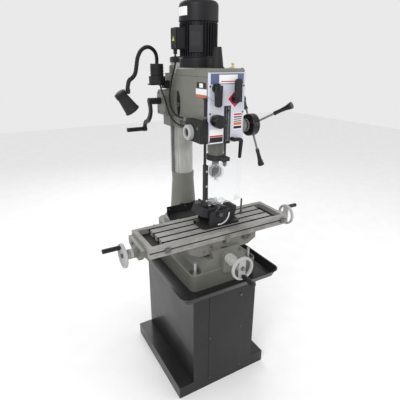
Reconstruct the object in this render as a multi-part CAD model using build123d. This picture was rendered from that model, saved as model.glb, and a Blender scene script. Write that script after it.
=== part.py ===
from build123d import *
import os
from math import cos, sin, pi, radians, tan

# Geared-head drilling and milling machine on a round column, standing on a
# cabinet with a chip tray. Millimetres, +Z up, +X to the operator's right,
# +Y to the back. The origin is the centre of the plinth's underside.

# ---------------------------------------------------------------- dimensions
# Stand
PLINTH_W, PLINTH_D, PLINTH_H = 572, 608, 74
PLINTH_SHEET = 3
ANCHOR_X, ANCHOR_Y, ANCHOR_R = 150, 282, 7
CABINET_W, CABINET_TOP, CABINET_SHEET = 396, 663, 2.5
TRAY_W, TRAY_D, TRAY_RIM_Z, TRAY_SHEET = 596, 782, 706, 2.5

# Base and column
BASE_W, BASE_FRONT, BASE_BACK = 400, -297, 304
BASE_RIM_Z, BASE_WAY_Z, BASE_SEAT_Z = 761, 846, 846
COLUMN_Y, COLUMN_R, COLUMN_TOP = 184, 57.5, 1752
FOOT_TOP = 1157

# Saddle and table
SADDLE_W, SADDLE_FRONT, SADDLE_BACK = 400, -273, -49
SADDLE_TOP = 911
TABLE_W, TABLE_D, TABLE_Y, TABLE_TOP, TABLE_T = 820, 240, -161, 961, 50
SLOT_PITCH, SLOT_THROAT, SLOT_WIDE = 55, 14, 24
X_SCREW_Z, CROSS_SCREW_Z = 898, 825
WHEEL_R, CROSS_WHEEL_Y = 60, -435
BOSS_OUT = {-1: 42, 1: 60}    # how far each end bracket's boss stands out
WHEEL_OUT = 47.5              # from a boss's end to the middle of its wheel
GRIP_OFF = (8, 42)            # a table grip's place from its wheel's axis, in Y and Z

# Head
HEAD_W, HEAD_FRONT, HEAD_BACK = 196, -254, 60
HEAD_LOW, HEAD_FLOOR, HEAD_TOP = 1405, 1480, 1695
LID_TOP = 1728
WRAP_R, WRAP_LOW, WRAP_TOP = 88, 1434, 1700
SPINDLE_Y, QUILL_R, QUILL_LOW, QUILL_TOP = -172.5, 37.5, 1305, 1620
LAY_Y, MOTOR_Y, MOTOR_R = -85, 0, 91
MOTOR_LOW, COWL_LOW, MOTOR_TOP = LID_TOP, 1928, 2015
FEED_Y, FEED_Z, FEED_R = -222, 1470, 16
CRANK_Y, CRANK_Z = 165, 1563
LIFT_X, LIFT_Z, LIFT_R = -92, 1526.5, 24
RACK_PITCH_X = -68
FINE_X, FINE_Z = -65, 1510.5
STOP_X, STOP_Y = 7, -243
GUARD_X, GUARD_Y = -108, -252
VISE_Y, VISE_PIVOT_Z, VISE_TILT = -165, 1030, 24
VISE_HALF, VISE_SCREW_Z = 49, 19    # half width of its jaws; the screw's height over the pivot

# Levers, clamps, leads and lamp
LEVERS = ((-60, 1648), (43, 1600))    # the two speed levers' axes, in X and Z
CLAMP_Z = (1480, 1650)                # heights of the bolts that clamp the head to the column
GLAND_X, GLAND_Y = -121, 8
LEAD_X = -117
LAMP_X, LAMP_Y = -146, 175
SHADE_PIVOT = (-379, -35, 1628)
NECK_R = 8
LAMP_NECK = [(-146, 175, 1738), (-143, 172, 1778), (-166, 155, 1809), (-207, 130, 1824), (-256, 95, 1809),
             (-292, 55, 1774), (-312, 20, 1736), (-330, -9, 1703), (-352, -27, 1686), (-374, -34, 1676),
             (-379, -35, 1645)]
MOTOR_LEAD = [(GLAND_X, GLAND_Y, 1788), (GLAND_X, GLAND_Y, 1752), (-124, 22, 1715), (-124, 46, 1680),
              (-123, 66, 1640), (-123, 78, 1600), (-123, 80, 1560), (-122, 60, 1524), (-117, 18, 1502),
              (-110, -24, 1497), (-110, -60, 1497)]
LAMP_LEAD = [(-150, 128, 1642), (-150, 112, 1612), (-149, 84, 1584), (-148, 62, 1548), (-144, 44, 1508),
             (-136, 14, 1478), (-127, -26, 1463), (LEAD_X, -66, 1462), (LEAD_X, -104, 1462)]
BUTTON_Y, BUTTON_Z, BUTTON_R = -158, 1449, 13

RUN = 0.05     # radial clearance of a running fit
SLIDE = 0.1    # clearance between sliding flats


# ------------------------------------------------------------------ helpers
def block(x0, x1, y0, y1, z0, z1):
    return Pos((x0 + x1) / 2, (y0 + y1) / 2, (z0 + z1) / 2) * Box(x1 - x0, y1 - y0, z1 - z0)


def rod_x(y, z, r, x0, x1):
    return Pos((x0 + x1) / 2, y, z) * Rot(0, 90, 0) * Cylinder(r, x1 - x0)


def rod_y(x, z, r, y0, y1):
    return Pos(x, (y0 + y1) / 2, z) * Rot(90, 0, 0) * Cylinder(r, y1 - y0)


def rod_z(x, y, r, z0, z1):
    return Pos(x, y, (z0 + z1) / 2) * Cylinder(r, z1 - z0)


def cone_z(x, y, r0, r1, z0, z1):
    return Pos(x, y, (z0 + z1) / 2) * Cone(r0, r1, z1 - z0)


def prism_z(points, z0, z1):
    face = make_face(Polyline(*points, close=True))
    return extrude(Plane.XY.offset(z0) * face, z1 - z0)


def prism_y(points, y0, y1):
    """Points are (x, z)."""
    plane = Plane(origin=(0, y1, 0), x_dir=(1, 0, 0), z_dir=(0, -1, 0))
    return extrude(plane * make_face(Polyline(*points, close=True)), y1 - y0)


def prism_x(points, x0, x1):
    """Points are (y, z)."""
    plane = Plane(origin=(x0, 0, 0), x_dir=(0, 1, 0), z_dir=(1, 0, 0))
    return extrude(plane * make_face(Polyline(*points, close=True)), x1 - x0)


def rounded_z(w, d, r, z0, z1, y=0):
    return extrude(Pos(0, y, z0) * RectangleRounded(w, d, r), z1 - z0)


def gear_points(teeth, module, start=0.0):
    """Outline of a spur gear with straight flanks and generous backlash."""
    pitch_r = teeth * module / 2
    outer = pitch_r + 0.8 * module
    root = pitch_r - 1.05 * module
    step = 2 * pi / teeth
    points = []
    for n in range(teeth):
        a = start + n * step
        for radius, part in ((root, -0.30), (outer, -0.12), (outer, 0.12), (root, 0.30)):
            points.append((radius * cos(a + part * step), radius * sin(a + part * step)))
    return points


def spur_gear(x, y, teeth, module, z0, z1, start=0.0):
    return Pos(x, y, 0) * prism_z(gear_points(teeth, module, start), z0, z1)


def save(name, shape):
    solids = shape.solids() if hasattr(shape, "solids") else ShapeList([shape])
    solids = [s for s in solids if s.volume > 1]
    body = solids[0] if len(solids) == 1 else Compound(children=solids)
    export_step(body, f"parts/{name}.step")


def group(*shapes):
    """Separate solids that share one node."""
    solids = []
    for shape in shapes:
        solids += shape.solids()
    return Compound(children=solids)


# -------------------------------------------------------------------- stand
def plinth():
    w, d, t = PLINTH_W / 2, PLINTH_D / 2, PLINTH_SHEET
    body = block(-w, w, -d, d, 0, PLINTH_H)
    body -= block(-w + t, w - t, -d + t, d - t, t, PLINTH_H - t)
    body -= block(-w + 40, w - 40, -d + 42, d - 42, -1, t + 1)
    inner = CABINET_W / 2 - 18
    body -= block(-inner, inner, -d + 20, d - 20, PLINTH_H - t - 1, PLINTH_H + 1)
    for x in (-ANCHOR_X, ANCHOR_X):
        for y in (-ANCHOR_Y, ANCHOR_Y):
            body -= rod_z(x, y, ANCHOR_R, -1, t + 1)
    return body


def cabinet():
    w, d, t = CABINET_W / 2, PLINTH_D / 2, CABINET_SHEET
    body = block(-w, w, -d, d, PLINTH_H, CABINET_TOP)
    body -= block(-w + t, w - t, -d + t, d - t, PLINTH_H - 1, CABINET_TOP - 5)
    body -= block(-88, 98, -d - 1, -d + t + 1, 110, 620)
    for x in (-165, 165):
        for y in (-262, 262):
            body -= rod_z(x, y, 9, CABINET_TOP - 6, CABINET_TOP + 1)
    return body


def cabinet_panel():
    d = PLINTH_D / 2
    skin = block(-104, 116, -d - 2.5, -d, 32, 650)
    skin = fillet(skin.edges().filter_by(Axis.Z).group_by(Axis.Y)[0], 2)
    return skin


def chip_tray():
    z0, z1, t = CABINET_TOP, TRAY_RIM_Z, TRAY_SHEET
    low = Pos(0, 0, z0) * RectangleRounded(TRAY_W - 50, TRAY_D - 50, 26)
    high = Pos(0, 0, z1) * RectangleRounded(TRAY_W - 8, TRAY_D - 8, 46)
    low_in = Pos(0, 0, z0 + t) * RectangleRounded(TRAY_W - 52, TRAY_D - 52, 25)
    high_in = Pos(0, 0, z1 + 1) * RectangleRounded(TRAY_W - 12, TRAY_D - 12, 44)
    body = loft([low, high]) - loft([low_in, high_in])
    lip = rounded_z(TRAY_W, TRAY_D, 50, z1 - t, z1)
    body += lip - rounded_z(TRAY_W - 12, TRAY_D - 12, 44, z1 - t - 1, z1 + 1)
    for x in (-165, 165):
        for y in (-262, 262):
            body -= rod_z(x, y, 9, z0 - 1, z0 + t + 1)
    return body


# ------------------------------------------------------------ base, column
def base_casting():
    z0 = CABINET_TOP + TRAY_SHEET
    depth, mid = BASE_BACK - BASE_FRONT, (BASE_BACK + BASE_FRONT) / 2
    low = rounded_z(BASE_W, depth, 34, z0, BASE_RIM_Z, mid)
    low = fillet(low.edges().group_by(Axis.Z)[-1], 5)
    low -= rounded_z(BASE_W - 56, depth - 56, 20, z0 - 1, BASE_RIM_Z - 26, mid)
    ways = [(-148, BASE_RIM_Z - 4), (-105, 826), (-76, 826), (-76, BASE_WAY_Z), (-90, 866), (90, 866),
            (76, BASE_WAY_Z), (76, 826), (105, 826), (148, BASE_RIM_Z - 4)]
    body = low + prism_y(ways, BASE_FRONT + 5, 62)
    hollow = block(-62, 62, BASE_FRONT + 40, 50, z0 - 1, 788)
    seat = rounded_z(272, BASE_BACK - 60, 60, BASE_RIM_Z - 4, BASE_SEAT_Z, (BASE_BACK + 56) / 2)
    body += seat
    body -= hollow + rounded_z(216, 180, 40, z0 - 1, 812, 180)
    body += rod_y(0, CROSS_SCREW_Z, 30, BASE_FRONT - 20, BASE_FRONT + 10)
    body += block(-30, 30, BASE_FRONT - 20, BASE_FRONT + 10, BASE_RIM_Z - 20, CROSS_SCREW_Z)
    # Corner pockets for the hold-down studs
    for x in (-165, 165):
        for y in (-262, 262):
            body -= Pos(x, y, 0) * rounded_z(56, 56, 22, 738, 800)
            body += rod_z(x, y, 24, 700, 738)
            body -= rod_z(x, y, 8, z0 - 1, 800)
    # Channel for the cross screw and its nut, then the screw's bearing
    body -= block(-20, 20, BASE_FRONT + 16, 66, CROSS_SCREW_Z - 17, 870)
    body -= rod_y(0, CROSS_SCREW_Z, 10 + RUN, BASE_FRONT - 21, BASE_FRONT + 17)
    # Holes for the column's foot
    for a in (45, 135, 225, 315):
        x, y = 100 * cos(radians(a)), COLUMN_Y + 100 * sin(radians(a))
        body -= rod_z(x, y, 6, 790, BASE_SEAT_Z + 1)
    return body


def base_bolts():
    """Four hold-down studs with nuts, and the four bolts of the column's foot."""
    parts = []
    for x in (-165, 165):
        for y in (-262, 262):
            stud = rod_z(x, y, 7.5, CABINET_TOP - 30, 812)
            nut = extrude(Pos(x, y, 738) * RegularPolygon(14, 6), 13)
            low_nut = extrude(Pos(x, y, CABINET_TOP - 18) * RegularPolygon(14, 6), 13)
            parts.append(stud + nut + low_nut)
    for a in (45, 135, 225, 315):
        x, y = 100 * cos(radians(a)), COLUMN_Y + 100 * sin(radians(a))
        head = extrude(Pos(x, y, BASE_SEAT_Z + 30) * RegularPolygon(10, 6), 8)
        parts.append(rod_z(x, y, 5.5, 800, BASE_SEAT_Z + 30) + head)
    return group(*parts)


def column_foot():
    z0 = BASE_SEAT_Z
    flange = rod_z(0, COLUMN_Y, 118, z0, z0 + 30)
    flange = fillet(flange.edges().group_by(Axis.Z)[-1], 9)
    cone = cone_z(0, COLUMN_Y, 82, 75, z0 + 30, 950) + cone_z(0, COLUMN_Y, 75, 62, 950, 1124)
    ring = rod_z(0, COLUMN_Y, 64, 1124, FOOT_TOP)
    body = flange + cone + ring
    body -= rod_z(0, COLUMN_Y, COLUMN_R, z0 + 20, FOOT_TOP + 1)
    for a in (45, 135, 225, 315):
        x, y = 100 * cos(radians(a)), COLUMN_Y + 100 * sin(radians(a))
        body -= rod_z(x, y, 6, z0 - 1, z0 + 31)
        body -= rod_z(x, y, 13, z0 + 30, z0 + 60)
    return body


def column_tube():
    tube = rod_z(0, COLUMN_Y, COLUMN_R, BASE_SEAT_Z + 20, COLUMN_TOP)
    return tube - rod_z(0, COLUMN_Y, COLUMN_R - 12, BASE_SEAT_Z + 19, COLUMN_TOP + 1)


def column_cap():
    cap = rod_z(0, COLUMN_Y, COLUMN_R + 4, COLUMN_TOP, COLUMN_TOP + 30)
    cap = fillet(cap.edges().group_by(Axis.Z)[-1], 8)
    return cap + rod_z(0, COLUMN_Y, COLUMN_R - 12.2, COLUMN_TOP - 20, COLUMN_TOP)


def column_rack():
    """The lifting rack stands beside the column and turns with the head."""
    pitch = 3 * pi
    root, tip = RACK_PITCH_X + 3.1, RACK_PITCH_X - 2.4
    z0, z1 = FOOT_TOP + 0.5, COLUMN_TOP - 14
    back = -COLUMN_R - 0.4
    points = [(back, z0), (root, z0)]
    z = LIFT_Z - pitch / 2 - pitch * int((LIFT_Z - z0 - pitch) / pitch)
    while z + pitch / 2 < z1:
        points += [(root, z - 0.30 * pitch), (tip, z - 0.12 * pitch)]
        points += [(tip, z + 0.12 * pitch), (root, z + 0.30 * pitch)]
        z += pitch
    points += [(root, z1), (back, z1)]
    return prism_y(points, COLUMN_Y - 10, COLUMN_Y + 10)


def way_cover():
    """Bent sheet that keeps chips off the ways in front of the column."""
    t, w = 2, 165
    profile = [(62, 1000), (62, 953), (22, 935), (22, 935 - t), (62 + t, 953 - t / 2), (62 + t, 1000)]
    sheet = prism_x(profile, -w, w)
    for x in (-40, 40):
        tab = block(x - 9, x + 9, 62, 140, 960, 980)
        sheet += tab - rod_z(0, COLUMN_Y, 74.3, 950, 990)
    return sheet


# --------------------------------------------------------- saddle and table
def saddle():
    w = SADDLE_W / 2
    z0, z1 = BASE_WAY_Z + 1, SADDLE_TOP - SLIDE
    outline = [(-w + 50, z0), (-w, 874), (-w, z1), (w, z1), (w, 874), (w - 50, z0)]
    body = prism_y(outline, SADDLE_FRONT, SADDLE_BACK)
    body -= prism_y([(-76.3, 840), (-76.3, BASE_WAY_Z), (-90.4, 866.3), (90.4, 866.3),
                     (76.3, BASE_WAY_Z), (76.3, 840)], SADDLE_FRONT - 1, SADDLE_BACK + 1)
    groove = [(TABLE_Y + y, z) for y, z in ((-55.4, z1 + 1), (-68.3, 888.7), (68.3, 888.7), (55.4, z1 + 1))]
    body -= prism_x(groove, -w - 1, w + 1)
    # Nut of the cross screw below, nut of the table screw above
    nut = block(-14, 14, -175, -145, CROSS_SCREW_Z - 14, 870)
    body += nut - rod_y(0, CROSS_SCREW_Z, 9.5 + RUN, -180, -140)
    top_nut = block(-20, 20, TABLE_Y - 13, TABLE_Y + 13, 880, 911)
    body += top_nut
    body -= rod_x(TABLE_Y, X_SCREW_Z, 9.5 + RUN, -w - 1, w + 1)
    # Stop block at the middle of the front, and the lock lever's bore
    face = TABLE_Y - TABLE_D / 2 - 0.4
    body += block(2, 26, face - 8, SADDLE_FRONT, 896, z1) + block(2, 26, face - 8, face, 896, 932)
    body -= rod_y(118, 893, 5 + RUN, SADDLE_FRONT - 1, SADDLE_FRONT + 45)
    return body


def table_lock():
    """Lever that clamps the table's gib: a screw with a bent handle."""
    screw = rod_y(118, 893, 5, SADDLE_FRONT - 14, SADDLE_FRONT + 40)
    hub = rod_y(118, 893, 9, SADDLE_FRONT - 16, SADDLE_FRONT - 1)
    arm = [(118, 886), (134, 884), (158, 900), (155, 906), (133, 892), (118, 898)]
    return screw + hub + prism_y(arm, SADDLE_FRONT - 14, SADDLE_FRONT - 6)


def table():
    w, y0, y1 = TABLE_W / 2, TABLE_Y - TABLE_D / 2, TABLE_Y + TABLE_D / 2
    z0, z1 = TABLE_TOP - TABLE_T, TABLE_TOP
    body = block(-w, w, y0, y1, z0, z1)
    dovetail = [(-55, z0 + 2), (-55, z0), (-68, 889), (68, 889), (55, z0), (55, z0 + 2)]
    body += prism_x([(TABLE_Y + y, z) for y, z in dovetail], -w, w)
    body -= block(-w - 1, w + 1, TABLE_Y - 15, TABLE_Y + 15, 880, 914)
    # T-slots between the end troughs
    for n in (-1.5, -0.5, 0.5, 1.5):
        y = TABLE_Y + n * SLOT_PITCH
        body -= block(-w + 80, w - 80, y - SLOT_THROAT / 2, y + SLOT_THROAT / 2, z1 - 14, z1 + 1)
        body -= block(-w + 80, w - 80, y - SLOT_WIDE / 2, y + SLOT_WIDE / 2, z1 - 24, z1 - 13)
    for side in (-1, 1):
        a, b = sorted((side * (w - 23), side * (w - 83)))
        trough = rounded_z(b - a, 188, 8, z1 - 26, z1 + 1, TABLE_Y)
        body -= Pos((a + b) / 2, 0, 0) * trough
    # Groove for the travel stops along the front edge
    body -= block(-w - 1, w + 1, y0 - 1, y0 + 6, 934, 942)
    for x in (-w, w):
        for dy in (-45, 45):
            body -= rod_x(TABLE_Y + dy, 925, 4.5, x - 20, x + 20)
    return body


def table_brackets():
    parts = []
    for side in (-1, 1):
        x0 = side * TABLE_W / 2
        a, b = sorted((x0, x0 + side * 24))
        outline = [(TABLE_Y - 82, 942), (TABLE_Y - 82, 908), (TABLE_Y - 40, 880), (TABLE_Y - 30, 868),
                   (TABLE_Y + 30, 868), (TABLE_Y + 40, 880), (TABLE_Y + 100, 905), (TABLE_Y + 100, 946)]
        plate = prism_x(outline, a, b)
        c, d = sorted((x0 + side * 24, x0 + side * BOSS_OUT[side]))
        boss = rod_x(TABLE_Y, X_SCREW_Z, 24, min(a, c), max(b, d))
        bracket = plate + boss
        bracket -= rod_x(TABLE_Y, X_SCREW_Z, 8 + RUN, min(a, c) - 1, max(b, d) + 1)
        for dy in (-45, 45):
            bracket -= rod_x(TABLE_Y + dy, 925, 4.5, a - 1, b + 1)
        parts.append(bracket)
    return group(*parts)


def table_screw():
    w = TABLE_W / 2
    screw = rod_x(TABLE_Y, X_SCREW_Z, 9.5, -w + 0.3, w - 0.3)
    return screw + rod_x(TABLE_Y, X_SCREW_Z, 8, wheel_place(-1), wheel_place(1))


def handwheel():
    """Dished two-spoke wheel with its graduated dial, about local Z, facing +Z."""
    rim = Cylinder(WHEEL_R, 16) - Cylinder(WHEEL_R - 11, 17)
    rim = fillet(rim.edges().filter_by(GeomType.CIRCLE), 3)
    web = Pos(0, 0, -3) * Box(38, 2 * WHEEL_R - 18, 7)
    hub = Pos(0, 0, -12) * Cylinder(15, 26)
    dial = Pos(0, 0, -36) * Cylinder(24, 22)
    return rim + web + hub + dial


def wheel_place(side):
    """Where a table handwheel's middle lies along X."""
    return side * (TABLE_W / 2 + BOSS_OUT[side] + WHEEL_OUT)


def table_wheels():
    parts = []
    for side in (-1, 1):
        x = wheel_place(side)
        wheel = Pos(x, TABLE_Y, X_SCREW_Z) * Rot(0, 90 * side, 0) * Rot(0, 0, 90) * handwheel()
        parts.append(wheel - rod_x(TABLE_Y, X_SCREW_Z, 8, x - 60, x + 60))
    return group(*parts)


def grip(length, r):
    """Turned handle about local Z; its neck stands on a wheel's web."""
    body = Pos(0, 0, 10 + length / 2) * Cylinder(r, length)
    body = fillet(body.edges().group_by(Axis.Z)[-1], r * 0.4)
    return body + Pos(0, 0, 5.25) * Cylinder(6, 9.5)


def table_grips():
    parts = []
    for side, length in ((-1, 84), (1, 72)):
        place = Pos(wheel_place(side), TABLE_Y + GRIP_OFF[0], X_SCREW_Z + GRIP_OFF[1])
        parts.append(place * Rot(0, 90 * side, 0) * grip(length, 11.5))
    return group(*parts)


def cross_screw():
    body = rod_y(0, CROSS_SCREW_Z, 9.5, BASE_FRONT + 17, 58)
    body += rod_y(0, CROSS_SCREW_Z, 10, BASE_FRONT - 24, BASE_FRONT + 17)
    return body + rod_y(0, CROSS_SCREW_Z, 8, -450, BASE_FRONT - 24)


def cross_wheel():
    y = CROSS_WHEEL_Y
    wheel = Pos(0, y, CROSS_SCREW_Z) * Rot(90, 0, 0) * handwheel()
    sleeve = rod_y(0, CROSS_SCREW_Z, 17, y + 47, BASE_FRONT - 20.5)
    body = wheel + sleeve + rod_y(0, CROSS_SCREW_Z, 27, BASE_FRONT - 58, BASE_FRONT - 21)
    body -= rod_y(0, CROSS_SCREW_Z, 8, -460, BASE_FRONT - 24)
    return body - rod_y(0, CROSS_SCREW_Z, 10, BASE_FRONT - 24, BASE_FRONT)


def cross_grip():
    return Pos(2, CROSS_WHEEL_Y, CROSS_SCREW_Z - 42) * Rot(90, 0, 0) * grip(84, 12)


def table_fittings():
    """Travel stops on the table's front, and the clamps and stop rod in its slots."""
    parts = []
    y0 = TABLE_Y - TABLE_D / 2
    for x in (-322, 372):
        dog = block(x - 12, x + 12, y0 - 9, y0, 926, 950) + block(x - 8, x + 8, y0, y0 + 5.5, 935, 941)
        parts.append(dog)
    for x, n in ((-80, 0.5), (112, -0.5)):
        y = TABLE_Y + n * SLOT_PITCH
        foot = block(x - 11, x + 11, y - 11, y + 11, TABLE_TOP - 23, TABLE_TOP - 15)
        stud = rod_z(x, y, 6, TABLE_TOP - 15, TABLE_TOP + 26)
        nut = extrude(Pos(x, y, TABLE_TOP + 14) * RegularPolygon(12, 6), 9)
        parts.append(foot + stud + nut)
    x, y = 200, TABLE_Y + 0.5 * SLOT_PITCH
    foot = block(x - 11, x + 11, y - 11, y + 11, TABLE_TOP - 23, TABLE_TOP - 15)
    collar = rod_z(x, y, 11, TABLE_TOP, TABLE_TOP + 8)
    parts.append(foot + collar + rod_z(x, y, 5, TABLE_TOP - 15, TABLE_TOP + 88))
    return group(*parts)


# -------------------------------------------------------------------- vise
def tilted(shape):
    """Turn a vise part about the tilt pivot, which runs along Y."""
    pivot = Pos(0, VISE_Y, VISE_PIVOT_Z)
    return pivot * Rot(0, VISE_TILT, 0) * shape


def vise_base():
    """Base plate with two slots, and a round cheek at front and back."""
    body = Pos(15.5, VISE_Y, 0) * rounded_z(225, 122, 20, TABLE_TOP, TABLE_TOP + 14)
    for y in (VISE_Y - 61, VISE_Y + 51):
        disc = rod_y(0, VISE_PIVOT_Z, 61, y, y + 10)
        foot = block(-61, 61, y, y + 10, TABLE_TOP, VISE_PIVOT_Z - 20)
        cheek = disc + foot - block(-200, 200, y - 1, y + 11, VISE_PIVOT_Z + 22, 1200)
        body += cheek - block(-200, 200, y - 1, y + 11, 900, TABLE_TOP)
    body -= rod_y(0, VISE_PIVOT_Z, 11 + RUN, VISE_Y - 62, VISE_Y + 62)
    for x, end, n in ((-80, -98, 0.5), (112, 129, -0.5)):
        y = TABLE_Y + n * SLOT_PITCH
        a, b = sorted((x, end))
        body -= rod_z(x, y, 7, TABLE_TOP - 1, TABLE_TOP + 15)
        body -= block(a, b, y - 7, y + 7, TABLE_TOP - 1, TABLE_TOP + 15)
    # Graduated quadrant around the pivot, standing proud of the front cheek
    front = VISE_Y - 61
    ring = rod_y(0, VISE_PIVOT_Z, 58, front - 3, front) - rod_y(0, VISE_PIVOT_Z, 50, front - 4, front + 1)
    return body + (ring & block(-12, 60, front - 5, front + 2, 960, VISE_PIVOT_Z + 4))


def vise_body():
    """Tilting body: slideway, fixed jaw and the nut block of the screw."""
    y0, y1 = -VISE_HALF, VISE_HALF
    bed = prism_y([(-102, 8), (-102, -38), (-30, -38), (-20, -22), (70, -22), (106, -6), (106, 8)], y0, y1)
    jaw = block(-8, 40, y0, y1, 8, 44)
    tail = prism_y([(62, 8), (78, 62), (96, 66), (106, 40), (106, 8)], y0 + 8, y1 - 8)
    nut_block = block(-96, -86, y0 + 18, y1 - 18, 8, 34)
    pins = rod_y(0, 0, 11, -66, y0) + rod_y(0, 0, 11, y1, 66)
    boss = rod_y(0, 0, 22, -66, -61.5)
    body = bed + jaw + tail + pins + boss + nut_block
    body -= block(-84, -9, -8, 8, -5, 9)
    body -= rod_x(0, VISE_SCREW_Z, 8 + RUN, -103, -80)
    return tilted(body)


def vise_jaw():
    jaw = block(-74, -34, -VISE_HALF, VISE_HALF, 8 + SLIDE, 20)
    jaw += block(-44, -34, -VISE_HALF, VISE_HALF, 8 + SLIDE, 40)
    jaw += block(-60, -48, -7.9, 7.9, -4, 8 + SLIDE)
    jaw += rod_x(0, VISE_SCREW_Z, 10.6, -77, -44)
    jaw -= rod_x(0, VISE_SCREW_Z, 8 + RUN, -78, -50)
    return tilted(jaw)


def vise_screw():
    body = rod_x(0, VISE_SCREW_Z, 8, -124, -50.2)
    head = Plane(origin=(-124, 0, VISE_SCREW_Z), z_dir=(1, 0, 0)) * extrude(RegularPolygon(11, 6), 12)
    return tilted(body + head)


# -------------------------------------------------------------------- head
def head_casting():
    w = HEAD_W / 2
    shell = block(-w, w, HEAD_FRONT, HEAD_BACK, HEAD_FLOOR, HEAD_TOP)
    shell = fillet(shell.edges().filter_by(Axis.Z), 10)
    nose = block(-w, w, HEAD_FRONT, -95, HEAD_LOW, HEAD_FLOOR)
    nose = fillet(nose.edges().filter_by(Axis.Z), 10)
    wrap = rod_z(0, COLUMN_Y, WRAP_R, WRAP_LOW, WRAP_TOP)
    neck = block(-WRAP_R, WRAP_R, HEAD_BACK - 20, COLUMN_Y, WRAP_LOW, HEAD_TOP)
    body = shell + nose + wrap + neck
    body += block(-104, -70, 118, 204, WRAP_LOW, 1492)
    body += rod_z(0, SPINDLE_Y, 41, 1348, HEAD_LOW + 2)
    body += block(-117, -w + 1, -84, -60, 1489, 1505)    # inlet of the motor lead
    # Gear chamber, open to the lid; floor above the quill's housing
    body -= block(-84, 84, -240, 46, 1532, HEAD_TOP + 1)
    body -= block(-84, 84, -84, 46, 1498, 1533)
    # Bores for the column, its rack and the quill
    body -= rod_z(0, COLUMN_Y, COLUMN_R + 0.08, WRAP_LOW - 1, WRAP_TOP + 1)
    body -= block(-72, -50, COLUMN_Y - 11, COLUMN_Y + 11, WRAP_LOW - 1, WRAP_TOP + 1)
    body -= rod_z(0, SPINDLE_Y, QUILL_R + RUN, 1340, 1540)
    # Clamp slit at the back of the column's bore
    body -= block(-2, 2, COLUMN_Y + 40, COLUMN_Y + WRAP_R + 1, WRAP_LOW - 1, WRAP_TOP + 1)
    # Recess around the clamp screw in the left side
    recess = Pos(-w, 37, 1557) * Rot(0, 90, 0) * extrude(Ellipse(66, 28), 8, both=True)
    body -= recess
    # Pockets for the lifting gear
    body -= block(-101, -62, 128, 200, 1497, 1580)
    body -= rod_y(LIFT_X, LIFT_Z, 9 + RUN, 112, 205)
    # Pockets and bore for the feed shaft
    body -= rod_x(FEED_Y, FEED_Z, 19.5, -14, 14)
    body -= rod_x(FEED_Y, FEED_Z, 27.5, -82, -60)
    body -= rod_x(FEED_Y, FEED_Z, 10 + RUN, -90, w + 1)
    body += rod_x(FEED_Y, FEED_Z, 30, w - 1, w + 24) - rod_x(FEED_Y, FEED_Z, 10 + RUN, 0, w + 30)
    # Fine-feed worm, depth-stop channel, lock screw and lever spindles
    body -= rod_y(FINE_X, FINE_Z, 15, -240, -204)
    body -= rod_y(FINE_X, FINE_Z, 8 + RUN, HEAD_FRONT - 1, -239)
    body -= block(STOP_X - 8, STOP_X + 8, HEAD_FRONT - 1, STOP_Y + 7, HEAD_LOW - 1, 1575)
    body -= rod_y(33, 1420, 6 + RUN, HEAD_FRONT - 1, -200)
    for x, z in LEVERS:
        body -= rod_y(x, z, 7 + RUN, HEAD_FRONT - 1, -238)
    # Pinch-bolt holes of the column clamp
    for z in CLAMP_Z:
        body -= rod_x(COLUMN_Y + 74, z, 7, -WRAP_R, WRAP_R)
        for side in (-1, 1):
            a, b = sorted((side * 24, side * WRAP_R))
            body -= rod_x(COLUMN_Y + 74, z, 13, a, b)
    return body


def head_lid():
    w = HEAD_W / 2
    lid = block(-w, w, HEAD_FRONT, HEAD_BACK, HEAD_TOP, LID_TOP)
    lid = fillet(lid.edges().filter_by(Axis.Z), 10)
    lid = chamfer(lid.edges().group_by(Axis.Z)[-1], 5)
    lid -= block(-84, 84, -240, 46, HEAD_TOP - 1, LID_TOP - 12)
    lid -= rod_z(0, SPINDLE_Y, 22, HEAD_TOP, LID_TOP + 1)
    lid -= rod_z(0, MOTOR_Y, 30, HEAD_TOP, LID_TOP + 1)
    return lid


def head_bolts():
    """Column pinch bolts, the side clamp screw and the clamp's wing knob."""
    parts = []
    for z in CLAMP_Z:
        shank = rod_x(COLUMN_Y + 74, z, 6.5, -34, 34)
        head = rod_x(COLUMN_Y + 74, z, 11, -34, -24.2)
        nut = rod_x(COLUMN_Y + 74, z, 11, 24.2, 34)
        parts.append(shank + head + nut)
    w = HEAD_W / 2
    parts.append(rod_x(37, 1553, 11, -w - 4, -w + 8) - rod_x(37, 1553, 5, -w - 5, -w))
    knob = rod_x(-62, 1452, 9, -w - 14, -w)
    knob += rod_x(-56, 1468, 15, -w - 14, -w - 6) + rod_x(-68, 1437, 15, -w - 14, -w - 6)
    parts.append(knob)
    return group(*parts)


def lift_gearbox():
    """Housing of the lifting worm on the head's left side."""
    x0, x1 = -138, -WRAP_R
    body = block(x0, x1, 104, 204, 1494, 1620)
    top = body.edges().filter_by(Axis.X).group_by(Axis.Z)[-1]
    body = fillet(top, 34)
    body -= block(x0 + 7, x1 + 1, 128, 196.5, 1499, 1556)
    body -= rod_y(LIFT_X, LIFT_Z, 9 + RUN, 112, 205)
    body -= rod_x(CRANK_Y, CRANK_Z, 14, x0 + 7, x1 + 1)
    body -= rod_x(CRANK_Y, CRANK_Z, 8 + RUN, x0 - 1, x1 + 1)
    return body


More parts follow.
